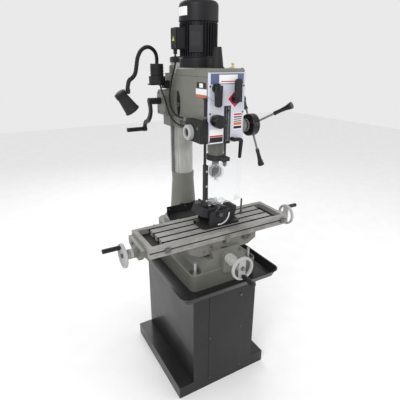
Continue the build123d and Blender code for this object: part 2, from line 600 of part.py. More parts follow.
def lift_crank():
    """Worm shaft with its cranked arm and the black grip's pin."""
    shaft = rod_x(CRANK_Y, CRANK_Z, 8, -192, -92) + rod_x(CRANK_Y, CRANK_Z, 10, -129, -95)
    hub = rod_x(CRANK_Y, CRANK_Z, 17, -204, -139)
    path = [(CRANK_Y, CRANK_Z), (CRANK_Y - 14, CRANK_Z - 45), (CRANK_Y + 40, CRANK_Z - 108), (251, 1409)]
    spine = Spline(*path, tangents=[(-0.4, -1), (0.25, -1)])
    plane = Plane(origin=(-206, 0, 0), x_dir=(0, 1, 0), z_dir=(1, 0, 0))
    left, right = [], []
    for n in range(13):
        p, d = spine @ (n / 12), spine % (n / 12)
        half = 12 - 2.5 * n / 12
        left.append((p.X - d.Y * half, p.Y + d.X * half))
        right.append((p.X + d.Y * half, p.Y - d.X * half))
    outline = Polyline(*(left + right[::-1]), close=True)
    arm = extrude(plane * make_face(outline), 14)
    boss = rod_x(251, 1409, 14, -208, -188)
    return shaft + hub + arm + boss


def crank_grip():
    body = rod_x(251, 1409, 12, -300, -212)
    body = fillet(body.edges().filter_by(GeomType.CIRCLE), 4)
    return body + rod_x(251, 1409, 8, -213, -208)


def lift_pinion():
    """Cross shaft with the worm wheel and the pinion that climbs the rack."""
    teeth = gear_points(16, 3, 0.0)
    plane = Plane(origin=(0, COLUMN_Y + 10, 0), x_dir=(1, 0, 0), z_dir=(0, -1, 0))
    pinion = extrude(plane * make_face(Polyline(*teeth, close=True)), 20)
    pinion = Pos(LIFT_X, 0, LIFT_Z) * pinion
    wheel = rod_y(LIFT_X, LIFT_Z, 25.5, 150, 170)
    return pinion + wheel + rod_y(LIFT_X, LIFT_Z, 9, 113, 204)


def motor_rotor():
    shaft = rod_z(0, MOTOR_Y, 12, 1612, 1990)
    pinion = spur_gear(0, MOTOR_Y, 20, 2.5, 1622, 1650, -pi / 2)
    core = rod_z(0, MOTOR_Y, 50, 1795, 1905)
    fan = rod_z(0, MOTOR_Y, 24, 1948, 1978)
    for n in range(7):
        fan += Pos(0, MOTOR_Y, 1963) * Rot(0, 0, n * 360 / 7) * Pos(45, 0, 0) * Box(50, 3, 26)
    return shaft + pinion + core + fan


def layshaft():
    shaft = rod_z(0, LAY_Y, 10, 1534, 1690)
    gear = spur_gear(0, LAY_Y, 48, 2.5, 1626, 1646, pi / 2 + pi / 48)
    pinion = spur_gear(0, LAY_Y, 18, 2.5, 1650, 1678, -pi / 2)
    return shaft + gear + pinion


def drive_sleeve():
    gear = spur_gear(0, SPINDLE_Y, 52, 2.5, 1652, 1676, pi / 2 + pi / 52)
    sleeve = rod_z(0, SPINDLE_Y, 21, 1648, 1712)
    return gear + sleeve - rod_z(0, SPINDLE_Y, 12 + RUN, 1640, 1720)


def motor_body():
    """Finned motor frame on its mounting flange, with a smooth plate pad."""
    core = rod_z(0, MOTOR_Y, 82, MOTOR_LOW + 46, COWL_LOW)
    fin_area = Circle(MOTOR_R)
    keep = Circle(82)
    for n in range(40):
        keep += Rot(0, 0, n * 9) * Pos(86, 0) * Rectangle(12, 3.2)
    fins = extrude(Pos(0, MOTOR_Y, MOTOR_LOW + 52) * (keep & fin_area), COWL_LOW - MOTOR_LOW - 58)
    body = core + fins
    body += Pos(0, MOTOR_Y, 1852) * Rot(0, 0, 233) * Pos(85, 0, 0) * Box(14, 62, 112)
    body += block(-92, -70, -34, 22, 1806, 1902)
    flange = rod_z(0, MOTOR_Y, 92, MOTOR_LOW, MOTOR_LOW + 14)
    bell = rod_z(0, MOTOR_Y, 92, MOTOR_LOW + 14, MOTOR_LOW + 46)
    bell = fillet(bell.edges().group_by(Axis.Z)[-1], 8)
    body += flange + bell
    body -= rod_z(0, MOTOR_Y, 53, MOTOR_LOW + 46, COWL_LOW - 20)
    body -= rod_z(0, MOTOR_Y, 46, MOTOR_LOW - 1, MOTOR_LOW + 30)
    body -= rod_z(0, MOTOR_Y, 12 + RUN, MOTOR_LOW - 1, COWL_LOW + 1)
    return body


def fan_cowl():
    cowl = rod_z(0, MOTOR_Y, 93, COWL_LOW, MOTOR_TOP)
    cowl = fillet(cowl.edges().group_by(Axis.Z)[-1], 22)
    inner = rod_z(0, MOTOR_Y, 90.5, COWL_LOW - 1, MOTOR_TOP - 2.5)
    inner = fillet(inner.edges().group_by(Axis.Z)[-1], 20)
    cowl -= inner
    for n in range(24):
        slot = Rot(0, 0, n * 15) * Pos(46, 0, MOTOR_TOP) * Box(44, 4, 12)
        cowl -= Pos(0, MOTOR_Y, 0) * slot
    return cowl


def terminal_box():
    box = block(-134, -92, -36, 24, 1808, 1900)
    box = fillet(box.edges().filter_by(Axis.X), 5)
    return box + rod_z(GLAND_X, GLAND_Y, 9, 1788, 1812)


def drawbar_cover():
    outer = cone_z(0, SPINDLE_Y, 28, 17, LID_TOP, 1817)
    outer = fillet(outer.edges().group_by(Axis.Z)[-1], 4)
    outer += rod_z(0, SPINDLE_Y, 32, LID_TOP, LID_TOP + 5)
    return outer - cone_z(0, SPINDLE_Y, 24.5, 14, LID_TOP - 1, 1812)


def front_panel():
    """Folded sheet over the head's front, with the depth scale's slot."""
    w = HEAD_W / 2
    outline = [(-w, HEAD_FRONT), (-w + 8, HEAD_FRONT - 4), (w - 8, HEAD_FRONT - 4), (w, HEAD_FRONT)]
    panel = prism_z(outline, HEAD_LOW, 1712)
    panel -= block(STOP_X - 4, STOP_X + 4, HEAD_FRONT - 5, HEAD_FRONT + 1, 1415, 1568)
    panel -= rod_y(33, 1420, 6 + RUN, HEAD_FRONT - 5, HEAD_FRONT + 1)
    panel -= rod_y(FINE_X, FINE_Z, 8 + RUN, HEAD_FRONT - 5, HEAD_FRONT + 1)
    for x, z in LEVERS:
        panel -= rod_y(x, z, 7 + RUN, HEAD_FRONT - 5, HEAD_FRONT + 1)
    return panel


def speed_lever(x, z, length, side):
    """Paddle lever on a spindle; side is +1 where it points up, -1 down."""
    front = HEAD_FRONT - 4
    body = rod_y(x, z, 7, front - 1, -240) + rod_y(x, z, 20, front - 16, front - 0.4)
    tip = z + side * length
    blade = [(x - 17, z - side * 12), (x - 15, tip - side * 8), (x - 8, tip), (x + 8, tip),
             (x + 15, tip - side * 8), (x + 17, z - side * 12)]
    return body + prism_y(blade, front - 32, front - 16)


def fine_feed():
    front = HEAD_FRONT - 4
    knob = rod_y(FINE_X, FINE_Z, 28, front - 60, front - 18)
    knob = fillet(knob.edges().group_by(Axis.Y)[0], 5)
    dial = rod_y(FINE_X, FINE_Z, 24, front - 18, front - 0.4)
    shaft = rod_y(FINE_X, FINE_Z, 8, front - 1, -239.5)
    return knob + dial + shaft + rod_y(FINE_X, FINE_Z, 14, -239.5, -206)


def quill_lock():
    front = HEAD_FRONT - 4
    hub = rod_y(33, 1420, 10, front - 24, front - 0.4)
    screw = rod_y(33, 1420, 6, front - 1, -202)
    arm = prism_y([(28, 1413), (30, 1428), (70, 1425), (84, 1412), (76, 1328), (66, 1328), (68, 1408)],
                  front - 22, front - 10)
    return hub + screw + arm


def guard_switch_box():
    """Box on the head's left that carries the guard's post, with a ring round its stop button."""
    w = HEAD_W / 2
    box = block(-132, -w, -262, -116, 1409, 1508)
    box = fillet(box.edges().filter_by(Axis.X), 6)
    box -= rod_z(GUARD_X, GUARD_Y, 6.5 + RUN, 1400, 1520)
    box -= rod_x(BUTTON_Y, BUTTON_Z, BUTTON_R + 0.3, -133, -118)
    box += rod_y(LEAD_X, 1462, 7, -117, -104)
    ring = rod_x(BUTTON_Y, BUTTON_Z, 35, -154, -132)
    ring = chamfer(ring.edges().sort_by(Axis.X)[0], 3)
    return box + (ring - rod_x(BUTTON_Y, BUTTON_Z, 21, -155, -131))


def stop_button():
    """Button with a wider cap, which slides in the switch box."""
    cap = rod_x(BUTTON_Y, BUTTON_Z, 18, -149, -138)
    return fillet(cap.edges().sort_by(Axis.X)[0], 3) + rod_x(BUTTON_Y, BUTTON_Z, BUTTON_R, -138, -122)


def guard_post():
    """Round post that turns in the box, with the channel that holds the shield."""
    post = rod_z(GUARD_X, GUARD_Y, 6.5, 1118, 1605)
    ring = rod_z(GUARD_X, GUARD_Y, 9.5, 1508.4, 1520)
    rail = block(-116, -101, -271, -247, 1112, 1312)
    return post + ring + rail


def guard_shield():
    sheet = block(-101, 62, -270, -267, 1112, 1312)
    fold = prism_z([(62, -270), (92, -262), (92, -259), (62, -267)], 1112, 1312)
    sheet += fold
    return sheet


# ------------------------------------------------------------ quill, feed
def quill():
    body = rod_z(0, SPINDLE_Y, QUILL_R, QUILL_LOW, QUILL_TOP)
    body -= rod_z(0, SPINDLE_Y, 24, QUILL_LOW - 1, QUILL_TOP + 1)
    body -= rod_z(0, SPINDLE_Y, 30, QUILL_LOW + 5, QUILL_LOW + 40)
    body -= rod_z(0, SPINDLE_Y, 30, QUILL_TOP - 30, QUILL_TOP + 1)
    # Feed rack cut in the front
    pitch = 2 * pi
    tip, root = FEED_Y + FEED_R - 1.6, FEED_Y + FEED_R + 2.1
    body -= block(-11, 11, SPINDLE_Y - 40, tip, FEED_Z - 25, QUILL_TOP - 6)
    for n in range(-3, 23):
        z = FEED_Z + n * pitch
        gap = [(tip - 1, z - 0.39 * pitch), (root, z - 0.20 * pitch)]
        gap += [(root, z + 0.20 * pitch), (tip - 1, z + 0.39 * pitch)]
        body -= prism_x(gap, -11, 11)
    return body


def quill_bearings():
    rings = []
    for z in (QUILL_LOW + 5, QUILL_TOP - 30):
        rings.append(rod_z(0, SPINDLE_Y, 30, z, z + 28) - rod_z(0, SPINDLE_Y, 17 + RUN, z - 1, z + 29))
    return group(*rings)


def depth_stop():
    """Clamp ring on the quill's nose with its lug, rod, nuts and pointer."""
    ring = rod_z(0, SPINDLE_Y, 45, 1308, 1332) - rod_z(0, SPINDLE_Y, QUILL_R, 1300, 1340)
    lug = block(STOP_X - 17, STOP_X + 24, STOP_Y - 9, SPINDLE_Y - 36, 1312, 1330)
    lug -= rod_z(0, SPINDLE_Y, QUILL_R, 1300, 1340)
    rod = rod_z(STOP_X, STOP_Y, 5, 1286, 1558)
    nut = extrude(Pos(STOP_X, STOP_Y, 1292) * RegularPolygon(11, 6), 20)
    pointer = block(STOP_X - 2, STOP_X + 2, HEAD_FRONT - 8, STOP_Y, 1548, 1556)
    return ring + lug + rod + nut + pointer


def spindle():
    body = rod_z(0, SPINDLE_Y, 17, 1271, 1640)
    return body + rod_z(0, SPINDLE_Y, 12, 1640, 1800)


def drill_chuck():
    body = rod_z(0, SPINDLE_Y, 29, 1219, 1262)
    body = chamfer(body.edges().group_by(Axis.Z)[0], 9)
    body += rod_z(0, SPINDLE_Y, 23, 1262, 1271)
    body += rod_z(0, SPINDLE_Y, 31, 1240, 1262)
    return body + cone_z(0, SPINDLE_Y, 6, 9, 1211, 1219)


def feed_hub():
    """Feed shaft with its pinion and fine-feed wheel, and the hub of the spokes."""
    shaft = rod_x(FEED_Y, FEED_Z, 10, -78, 160)
    wheel = rod_x(FEED_Y, FEED_Z, 25.8, -79, -63)
    outline = make_face(Polyline(*gear_points(16, 2), close=True))
    plane = Plane(origin=(-9.5, FEED_Y, FEED_Z), x_dir=(0, 1, 0), z_dir=(1, 0, 0))
    pinion = extrude(plane * outline, 10.5)
    drum = rod_x(FEED_Y, FEED_Z, 53, 146, 186)
    drum = fillet(drum.edges().filter_by(GeomType.CIRCLE), 5)
    core = rod_x(FEED_Y, FEED_Z, 30, 122.5, 146) + rod_x(FEED_Y, FEED_Z, 34, 186, 189)
    body = shaft + wheel + pinion + drum + core
    for n in range(3):
        body -= spoke_frame(n) * Pos(0, 0, 60) * Cylinder(5, 60)
    return body


def spoke_frame(n):
    """Local Z runs out along spoke n, leaning 21 degrees away from the head."""
    turn = 60 + 120 * n
    return Pos(168, FEED_Y, FEED_Z) * Rot(turn, 0, 0) * Rot(0, 21, 0)


def feed_spokes():
    return group(*[spoke_frame(n) * Pos(0, 0, 82.5) * Cylinder(5, 105) for n in range(3)])


def feed_grips():
    parts = []
    for n in range(3):
        profile = Polyline((0, 0), (10, 0), (9, 30), (11, 60), (16, 84), (16, 92), (0, 92), close=True)
        knob = revolve(Plane.XZ * make_face(profile), Axis.Z)
        parts.append(spoke_frame(n) * Pos(0, 0, 135) * knob)
    return group(*parts)


# -------------------------------------------------------------------- lamp
def lamp_stand():
    """Bracket, base, flexible neck and the fork that holds the lamp's shade."""
    bracket = block(-190, -WRAP_R, 150, 200, 1642, 1648) + block(-122, -WRAP_R, 146, 176, 1626, 1664)
    base = rod_z(LAMP_X, LAMP_Y, 42, 1648, 1685) + rod_z(LAMP_X, LAMP_Y, 33, 1685, 1745)
    out = Plane(origin=LAMP_LEAD[0], z_dir=Vector(*LAMP_LEAD[0]) - Vector(*LAMP_LEAD[1]))
    gland = extrude(out * Circle(7), 22)
    x, y, z = SHADE_PIVOT
    fork = rod_z(x, y, 9, z + 12, z + 24)
    for side in (-1, 1):
        a, b = sorted((y + side * 6.4, y + side * 9.4))
        fork += rod_y(x, z, 8, a, b) + block(x - 8, x + 8, a, b, z, z + 14)
    fork -= rod_y(x, z, 3 + RUN, y - 10, y + 10)
    return bracket + base + gland + fork + round_lead(LAMP_NECK, NECK_R)


def round_lead(route, r):
    """Tube of straight runs joined by tangent arcs."""
    points = [Vector(*p) for p in route]
    radii = []
    for a, b, c in zip(points, points[1:], points[2:]):
        turn = radians((b - a).get_angle(c - b))
        shorter = min((b - a).length, (c - b).length)
        radii.append(0.45 * shorter / tan(turn / 2))
    path = FilletPolyline(*points, radius=radii)
    print("lead radii", [round(v) for v in radii], "length", round(path.length))
    start = Plane(origin=path @ 0, z_dir=path % 0)
    return sweep(start * Circle(r), path=path)


def lamp_shade():
    """Tapered lamp head, open at its mouth, with its bulb and hinge knuckle."""
    x, y, z = SHADE_PIVOT
    lean = radians(145)
    frame = Pos(x - 15, y, z - 37) * Rot(0, 145, 0)
    shade = Pos(0, 0, 16) * Cone(24, 33.5, 74) + Pos(0, 0, -33) * Cylinder(24, 26)
    shade = fillet(shade.edges().group_by(Axis.Z)[0], 7)
    shade -= Pos(0, 0, 20) * Cone(21, 31.5, 68)
    bulb = Pos(0, 0, -6) * Sphere(15)
    knuckle = rod_y(x, z, 8, y - 6, y + 6) + rod_y(x, z, 3, y - 9.4, y + 9.4)
    neck = Plane(origin=(x, y, z), z_dir=(cos(lean), 0, -sin(lean)))
    return frame * (shade + bulb) + knuckle + extrude(neck * Circle(5), 14)


# ------------------------------------------------------------------- leads
def head_leads():
    """Motor lead and lamp lead, held along the head's left side."""
    return group(round_lead(MOTOR_LEAD, 4.5), round_lead(LAMP_LEAD, 4))


if __name__ == "__main__":
    os.makedirs("parts", exist_ok=True)
    makers = [plinth, cabinet, cabinet_panel, chip_tray, base_casting, base_bolts, column_foot, column_tube,
              column_cap, column_rack, way_cover, saddle, table_lock, table, table_brackets, table_screw,
              table_wheels, table_grips, table_fittings, cross_screw, cross_wheel, cross_grip, vise_base,
              vise_body, vise_jaw, vise_screw, head_casting, head_lid, head_bolts, lift_gearbox, lift_crank,
              crank_grip, lift_pinion, motor_rotor, layshaft, drive_sleeve, motor_body, fan_cowl,
              terminal_box, drawbar_cover, front_panel, fine_feed, quill_lock, guard_switch_box,
              stop_button, guard_post, guard_shield, quill, quill_bearings, depth_stop, spindle,
              drill_chuck, feed_hub, feed_spokes, feed_grips, lamp_stand, lamp_shade, head_leads]
    for maker in makers:
        save(maker.__name__, maker())
    save("speed_lever_left", speed_lever(*LEVERS[0], 78, -1))
    save("speed_lever_right", speed_lever(*LEVERS[1], 86, 1))
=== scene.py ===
from math import cos, pi, radians, sin

import bmesh
import bpy
from mathutils import Matrix, Vector


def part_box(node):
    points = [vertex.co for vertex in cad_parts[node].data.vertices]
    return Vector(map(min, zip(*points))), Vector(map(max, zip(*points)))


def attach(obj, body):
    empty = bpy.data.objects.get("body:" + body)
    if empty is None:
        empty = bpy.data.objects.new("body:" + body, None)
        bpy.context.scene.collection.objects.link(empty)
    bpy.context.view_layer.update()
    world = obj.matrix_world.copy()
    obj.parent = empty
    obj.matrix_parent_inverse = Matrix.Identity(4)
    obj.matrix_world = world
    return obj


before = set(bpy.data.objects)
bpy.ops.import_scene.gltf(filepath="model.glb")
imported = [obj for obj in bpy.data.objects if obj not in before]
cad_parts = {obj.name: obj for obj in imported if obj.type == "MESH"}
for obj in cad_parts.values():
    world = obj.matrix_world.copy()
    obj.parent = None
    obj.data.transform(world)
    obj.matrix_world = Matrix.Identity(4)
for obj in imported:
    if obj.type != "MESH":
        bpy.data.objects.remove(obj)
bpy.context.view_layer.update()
MM = 0.001


# ------------------------------------------------------------------ places
def mm(x, y, z):
    """A point of the machine in millimetres, as metres."""
    return Vector((x, y, z)) * MM


def low(node):
    return Vector(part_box(node)[0]) / MM


def high(node):
    return Vector(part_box(node)[1]) / MM


PANEL_FRONT = low("front_panel").y
SPINDLE_Y = (low("quill").y + high("quill").y) / 2
HEAD_LEFT = -98
SWITCH_LEFT = -132
LAMP_BASE = (-146, 175)
VISE_PIVOT = (0, -165, 1030)
SHADE = (-394, -35, 1591)
LEVER_LEFT = (-60, 1648)
LEVER_RIGHT = (43, 1600)
KNOB = (-65, 1510.5)
FEED = Vector((168, -222, 1470))
TABLE_TOP = low("vise_base").z
TABLE_Y = -161
TABLE_FRONT = TABLE_Y - 120
X_SCREW_Z = 898
CROSS_Z = 825
SLOT_PITCH = 55

ONE = (1, 1, 1)
FRONT, LEFT, RIGHT, UP = (0, -1, 0), (-1, 0, 0), (1, 0, 0), (0, 0, 1)


# ------------------------------------------------------------------ camera
def add_camera():
    """Stands to the front left, a little above the head's middle, and looks down."""
    right = Vector((0.8671, -0.4982, 0)).normalized()
    ahead = Vector((0.4649, 0.8091, -0.3597)).normalized()
    up = right.cross(ahead)
    roll = radians(0.253)
    level, rise = right * cos(roll) + up * sin(roll), up * cos(roll) - right * sin(roll)
    data = bpy.data.cameras.new("camera")
    data.lens, data.sensor_width = 32.23, 36
    camera = bpy.data.objects.new("camera", data)
    turn = Matrix((level, rise, -ahead)).transposed().to_4x4()
    camera.matrix_world = Matrix.Translation((-0.9235, -1.6279, 1.7539)) @ turn
    bpy.context.collection.objects.link(camera)
    bpy.context.scene.camera = camera


def add_light(name, place, aim, size, power):
    data = bpy.data.lights.new(name, "AREA")
    data.shape, data.size, data.energy = "SQUARE", size, power
    light = bpy.data.objects.new(name, data)
    light.location = place
    light.rotation_euler = (Vector(aim) - Vector(place)).to_track_quat("-Z", "Y").to_euler()
    bpy.context.collection.objects.link(light)


def add_studio():
    add_light("key_light", (-2.6, -2.4, 3.4), (0, 0, 1.1), 2.0, 75)
    add_light("fill_light", (2.8, -2.2, 2.2), (0, 0, 1.0), 2.4, 22)
    add_light("back_light", (0.6, 3.0, 3.2), (0, 0, 1.2), 2.0, 40)
    bpy.context.scene.view_settings.view_transform = "Standard"
    world = bpy.data.worlds.new("studio")
    world.use_nodes = True
    sky = world.node_tree.nodes["Background"]
    sky.inputs["Color"].default_value = (1, 1, 1, 1)
    sky.inputs["Strength"].default_value = 0.82
    bpy.context.scene.world = world
    mesh = bpy.data.meshes.new("floor")
    mesh.from_pydata([(-9, -9, 0), (9, -9, 0), (9, 9, 0), (-9, 9, 0)], [], [(0, 1, 2, 3)])
    floor = bpy.data.objects.new("floor", mesh)
    bpy.context.collection.objects.link(floor)
    floor.data.materials.append(plain("floor_pale", (0.93, 0.93, 0.93), 0.9))


# ---------------------------------------------------------- shader effects
def new_group(name, sizes, outputs):
    """Shader node group with an input and an output node; returns its parts."""
    group = bpy.data.node_groups.new(name, "ShaderNodeTree")
    kinds = {"colour": "NodeSocketColor", "value": "NodeSocketFloat", "vector": "NodeSocketVector"}
    for label, kind in sizes:
        group.interface.new_socket(label, in_out="INPUT", socket_type=kinds[kind])
    for label, kind in outputs:
        group.interface.new_socket(label, in_out="OUTPUT", socket_type=kinds[kind])
    return group, group.nodes.new("NodeGroupInput"), group.nodes.new("NodeGroupOutput")


def noise(tree, scale, detail=3.0, stretch=None):
    """Noise on object coordinates; scale is a number or a socket."""
    place = tree.nodes.new("ShaderNodeTexCoord").outputs["Object"]
    if stretch is not None:
        move = tree.nodes.new("ShaderNodeVectorMath")
        move.operation = "MULTIPLY"
        tree.links.new(place, move.inputs[0])
        tree.links.new(stretch, move.inputs[1])
        place = move.outputs[0]
    node = tree.nodes.new("ShaderNodeTexNoise")
    node.inputs["Detail"].default_value = detail
    tree.links.new(place, node.inputs["Vector"])
    if isinstance(scale, (int, float)):
        node.inputs["Scale"].default_value = scale
    else:
        tree.links.new(scale, node.inputs["Scale"])
    return node.outputs["Fac"]


def spread(tree, value, low_in, high_in, low_out, high_out):
    """Maps a value from one range to another; each bound is a number or a socket."""
    node = tree.nodes.new("ShaderNodeMapRange")
    tree.links.new(value, node.inputs["Value"])
    bounds = (("From Min", low_in), ("From Max", high_in), ("To Min", low_out), ("To Max", high_out))
    for label, bound in bounds:
        if isinstance(bound, (int, float)):
            node.inputs[label].default_value = bound
        else:
            tree.links.new(bound, node.inputs[label])
    return node.outputs["Result"]


def mix_colours(tree, mask, first, second):
    node = tree.nodes.new("ShaderNodeMix")
    node.data_type = "RGBA"
    tree.links.new(mask, node.inputs["Factor"])
    for socket, source in ((node.inputs[6], first), (node.inputs[7], second)):
        if isinstance(source, tuple):
            socket.default_value = (*source, 1)
        else:
            tree.links.new(source, socket)
    return node.outputs[2]


def make_coating():
    """Paint or plastic: broad tone patches, fine grain, small marks, settled dust."""
    sizes = [("Colour", "colour"), ("Patch Colour", "colour"), ("Mark Colour", "colour"),
             ("Dust Colour", "colour"), ("Patch Scale", "value"), ("Grain Scale", "value"),
             ("Marks", "value"), ("Dust", "value"), ("Smooth", "value"), ("Rough", "value")]
    group, inp, out = new_group("coating", sizes,
                                [("Colour", "colour"), ("Roughness", "value"), ("Height", "value")])
    sockets = inp.outputs
    patch = noise(group, sockets["Patch Scale"], 5)
    grain = noise(group, sockets["Grain Scale"], 2)
    specks = noise(group, 210, 6)
    patches = spread(group, patch, 0.35, 0.68, 0, 1)
    tone = mix_colours(group, patches, sockets["Colour"], sockets["Patch Colour"])
    marked = mix_colours(group, spread(group, specks, 0.66, 0.74, 0, sockets["Marks"]), tone,
                   sockets["Mark Colour"])
    normal = group.nodes.new("ShaderNodeSeparateXYZ")
    group.links.new(group.nodes.new("ShaderNodeNewGeometry").outputs["Normal"], normal.inputs[0])
    facing = spread(group, normal.outputs["Z"], 0.55, 1, 0, sockets["Dust"])
    settled = group.nodes.new("ShaderNodeMath")
    settled.operation = "MULTIPLY"
    group.links.new(facing, settled.inputs[0])
    group.links.new(spread(group, patch, 0.3, 0.6, 0.4, 1), settled.inputs[1])
    dusty = mix_colours(group, settled.outputs[0], marked, sockets["Dust Colour"])
    group.links.new(dusty, out.inputs["Colour"])
    finish = spread(group, patch, 0.3, 0.7, sockets["Smooth"], sockets["Rough"])
    group.links.new(finish, out.inputs["Roughness"])
    group.links.new(grain, out.inputs["Height"])
    return group


def make_machined():
    """Bare metal: streaks along the stretched axes, which are tool streaks on most parts and painted
    reflection streaks on the column, and stains.
    """
    sizes = [("Colour", "colour"), ("Stain And Streak Colour", "colour"), ("Stretch", "vector"),
             ("Streak Scale", "value"), ("Stains", "value"), ("Smooth", "value"), ("Rough", "value")]
    group, inp, out = new_group("machined", sizes,
                                [("Colour", "colour"), ("Roughness", "value"), ("Height", "value")])
    sockets = inp.outputs
    streaks = noise(group, sockets["Streak Scale"], 4, sockets["Stretch"])
    stain = noise(group, 7, 6)
    shade = mix_colours(group, spread(group, streaks, 0.35, 0.7, 0, 0.45), sockets["Colour"],
                  sockets["Stain And Streak Colour"])
    group.links.new(mix_colours(group, spread(group, stain, 0.48, 0.72, 0, sockets["Stains"]), shade,
                          sockets["Stain And Streak Colour"]), out.inputs["Colour"])
    finish = group.nodes.new("ShaderNodeMath")
    finish.operation = "MULTIPLY_ADD"
    group.links.new(spread(group, streaks, 0.3, 0.7, 0.8, 1.2), finish.inputs[0])
    group.links.new(spread(group, stain, 0.3, 0.7, sockets["Smooth"], sockets["Rough"]), finish.inputs[1])
    group.links.new(finish.outputs[0], out.inputs["Roughness"])
    group.links.new(streaks, out.inputs["Height"])
    return group


COATING = make_coating()
MACHINED = make_machined()


def finished(name, group, values, bump, metallic=0.0, coat=0.0, sheen=0.5):
    """A Principled material driven by one of the effect groups."""
    material = bpy.data.materials.new(name)
    material.use_nodes = True
    tree = material.node_tree
    shader = tree.nodes["Principled BSDF"]
    effect = tree.nodes.new("ShaderNodeGroup")
    effect.node_tree = group
    for label, value in values.items():
        socket = effect.inputs[label]
        colour = isinstance(value, tuple) and socket.type == "RGBA"
        socket.default_value = (*value, 1) if colour else value
    lift = tree.nodes.new("ShaderNodeBump")
    lift.inputs["Strength"].default_value = bump
    lift.inputs["Distance"].default_value = 0.0006
    tree.links.new(effect.outputs["Colour"], shader.inputs["Base Color"])
    tree.links.new(effect.outputs["Roughness"], shader.inputs["Roughness"])
    tree.links.new(effect.outputs["Height"], lift.inputs["Height"])
    tree.links.new(lift.outputs["Normal"], shader.inputs["Normal"])
    shader.inputs["Metallic"].default_value = metallic
    shader.inputs["Coat Weight"].default_value = coat
    shader.inputs["Specular IOR Level"].default_value = sheen
    return material


def paint(name, colour, patch, grain, smooth, rough, bump, dust=0.12, marks=0.5, coat=0.0):
    worn = tuple(min(1, c * 1.6 + 0.03) for c in colour)
    values = {"Colour": colour, "Patch Colour": patch, "Mark Colour": worn, "Patch Scale": 6.0,
              "Dust Colour": (0.42, 0.41, 0.38), "Grain Scale": grain, "Marks": marks, "Dust": dust,
              "Smooth": smooth, "Rough": rough}
    sheen = 0.5 if max(colour) > 0.03 else 0.28
    return finished(name, COATING, values, bump, 0, coat, sheen)


def metal(name, colour, stain, stretch, scale, smooth, rough, bump, stains=0.5, metallic=1.0):
    values = {"Colour": colour, "Stain And Streak Colour": stain, "Stretch": stretch, "Streak Scale": scale,
              "Stains": stains, "Smooth": smooth, "Rough": rough}
    return finished(name, MACHINED, values, bump, metallic)


def plain(name, colour, rough):
    return paint(name, colour, tuple(c * 0.97 for c in colour), 60, rough * 0.9, rough, 0.03, 0, 0)


def clear_sheet():
    material = finished("shield_clear", COATING,
                        {"Colour": (0.93, 0.96, 0.97), "Patch Colour": (0.90, 0.94, 0.95),
                         "Mark Colour": (0.8, 0.84, 0.85), "Dust Colour": (0.9, 0.9, 0.9),
                         "Patch Scale": 9.0, "Grain Scale": 90.0, "Marks": 0.6, "Dust": 0.0,
                         "Smooth": 0.02, "Rough": 0.05}, 0.04)
    shader = material.node_tree.nodes["Principled BSDF"]
    shader.inputs["Transmission Weight"].default_value = 0.9
    shader.inputs["IOR"].default_value = 1.2
    shader.inputs["Alpha"].default_value = 0.5
    return material


CAST_PAINT = paint("cast_paint", (0.135, 0.135, 0.118), (0.170, 0.168, 0.148), 330, 0.36, 0.52, 0.35, 0.16)
BLACK_SHEET = paint("black_sheet", (0.007, 0.007, 0.008), (0.012, 0.012, 0.013), 500, 0.26, 0.40, 0.10,
                    0.02, 0.2, 0.15)
MOTOR_PAINT = paint("motor_paint", (0.005, 0.005, 0.007), (0.010, 0.010, 0.012), 420, 0.38, 0.55, 0.3, 0.02)
VISE_PAINT = paint("vise_paint", (0.010, 0.010, 0.012), (0.020, 0.020, 0.023), 380, 0.34, 0.5, 0.3, 0.03)
GLOSS_BLACK = paint("gloss_black", (0.005, 0.005, 0.006), (0.008, 0.008, 0.009), 260, 0.2, 0.32, 0.05,
                    0.01, 0.2, 0.2)
MATT_BLACK = paint("matt_black", (0.010, 0.010, 0.011), (0.016, 0.016, 0.017), 700, 0.5, 0.62, 0.4, 0.03)
RUBBER = paint("lead_rubber", (0.008, 0.008, 0.008), (0.013, 0.013, 0.013), 300, 0.5, 0.65, 0.2, 0.03)
# Near black paint for the T-slots, the troughs and the head's side recess: painted shade.
PAINTED_SHADE = paint("oiled_shadow", (0.006, 0.006, 0.005), (0.014, 0.013, 0.011), 300, 0.5, 0.7, 0.2, 0, 0.3)
PANEL = paint("panel_silver", (0.52, 0.54, 0.62), (0.57, 0.58, 0.65), 900, 0.34, 0.44, 0.06, 0, 0.15, 0.1)
BLUE = paint("panel_blue", (0.055, 0.075, 0.17), (0.085, 0.11, 0.22), 900, 0.34, 0.44, 0.06, 0, 0.2, 0.1)
WHITE = plain("label_white", (0.78, 0.78, 0.78), 0.45)
RED = plain("label_red", (0.45, 0.018, 0.05), 0.4)
ORANGE = plain("label_orange", (0.55, 0.12, 0.04), 0.45)
YELLOW = plain("label_yellow", (0.55, 0.55, 0.04), 0.4)
BRASS = metal("oiler_brass", (0.70, 0.62, 0.36), (0.45, 0.38, 0.2), (30.0, 30.0, 30.0), 6.0, 0.25, 0.4, 0.05)
# Near black for print and seams; on the chuck's key holes, the trough drains and the back vents it is
# painted shade of the holes.
DARK = plain("print_and_hole_shade_dark", (0.012, 0.012, 0.014), 0.45)
GROUND = metal("ground_iron", (0.47, 0.46, 0.44), (0.20, 0.195, 0.185), (3.0, 60.0, 60.0), 9.0,
               0.28, 0.42, 0.12, 0.6, 0.85)
# On the column the streaks run vertically, and their darkening is painted reflection streaks.
COLUMN_STEEL = metal("column_steel", (0.58, 0.58, 0.56), (0.26, 0.255, 0.245), (60.0, 60.0, 2.0), 4.0,
                     0.2, 0.32, 0.06, 0.4)
TURNED = metal("turned_steel", (0.34, 0.34, 0.335), (0.16, 0.155, 0.15), (3.0, 3.0, 220.0), 6.0,
               0.22, 0.34, 0.08, 0.5)
DARK_STEEL = metal("blackened_steel", (0.10, 0.10, 0.10), (0.04, 0.04, 0.04), (3.0, 3.0, 220.0), 6.0,
                   0.25, 0.4, 0.08, 0.5)
BOLT = metal("bolt_steel", (0.24, 0.24, 0.235), (0.10, 0.098, 0.095), (40.0, 40.0, 40.0), 5.0,
             0.28, 0.42, 0.1, 0.6)
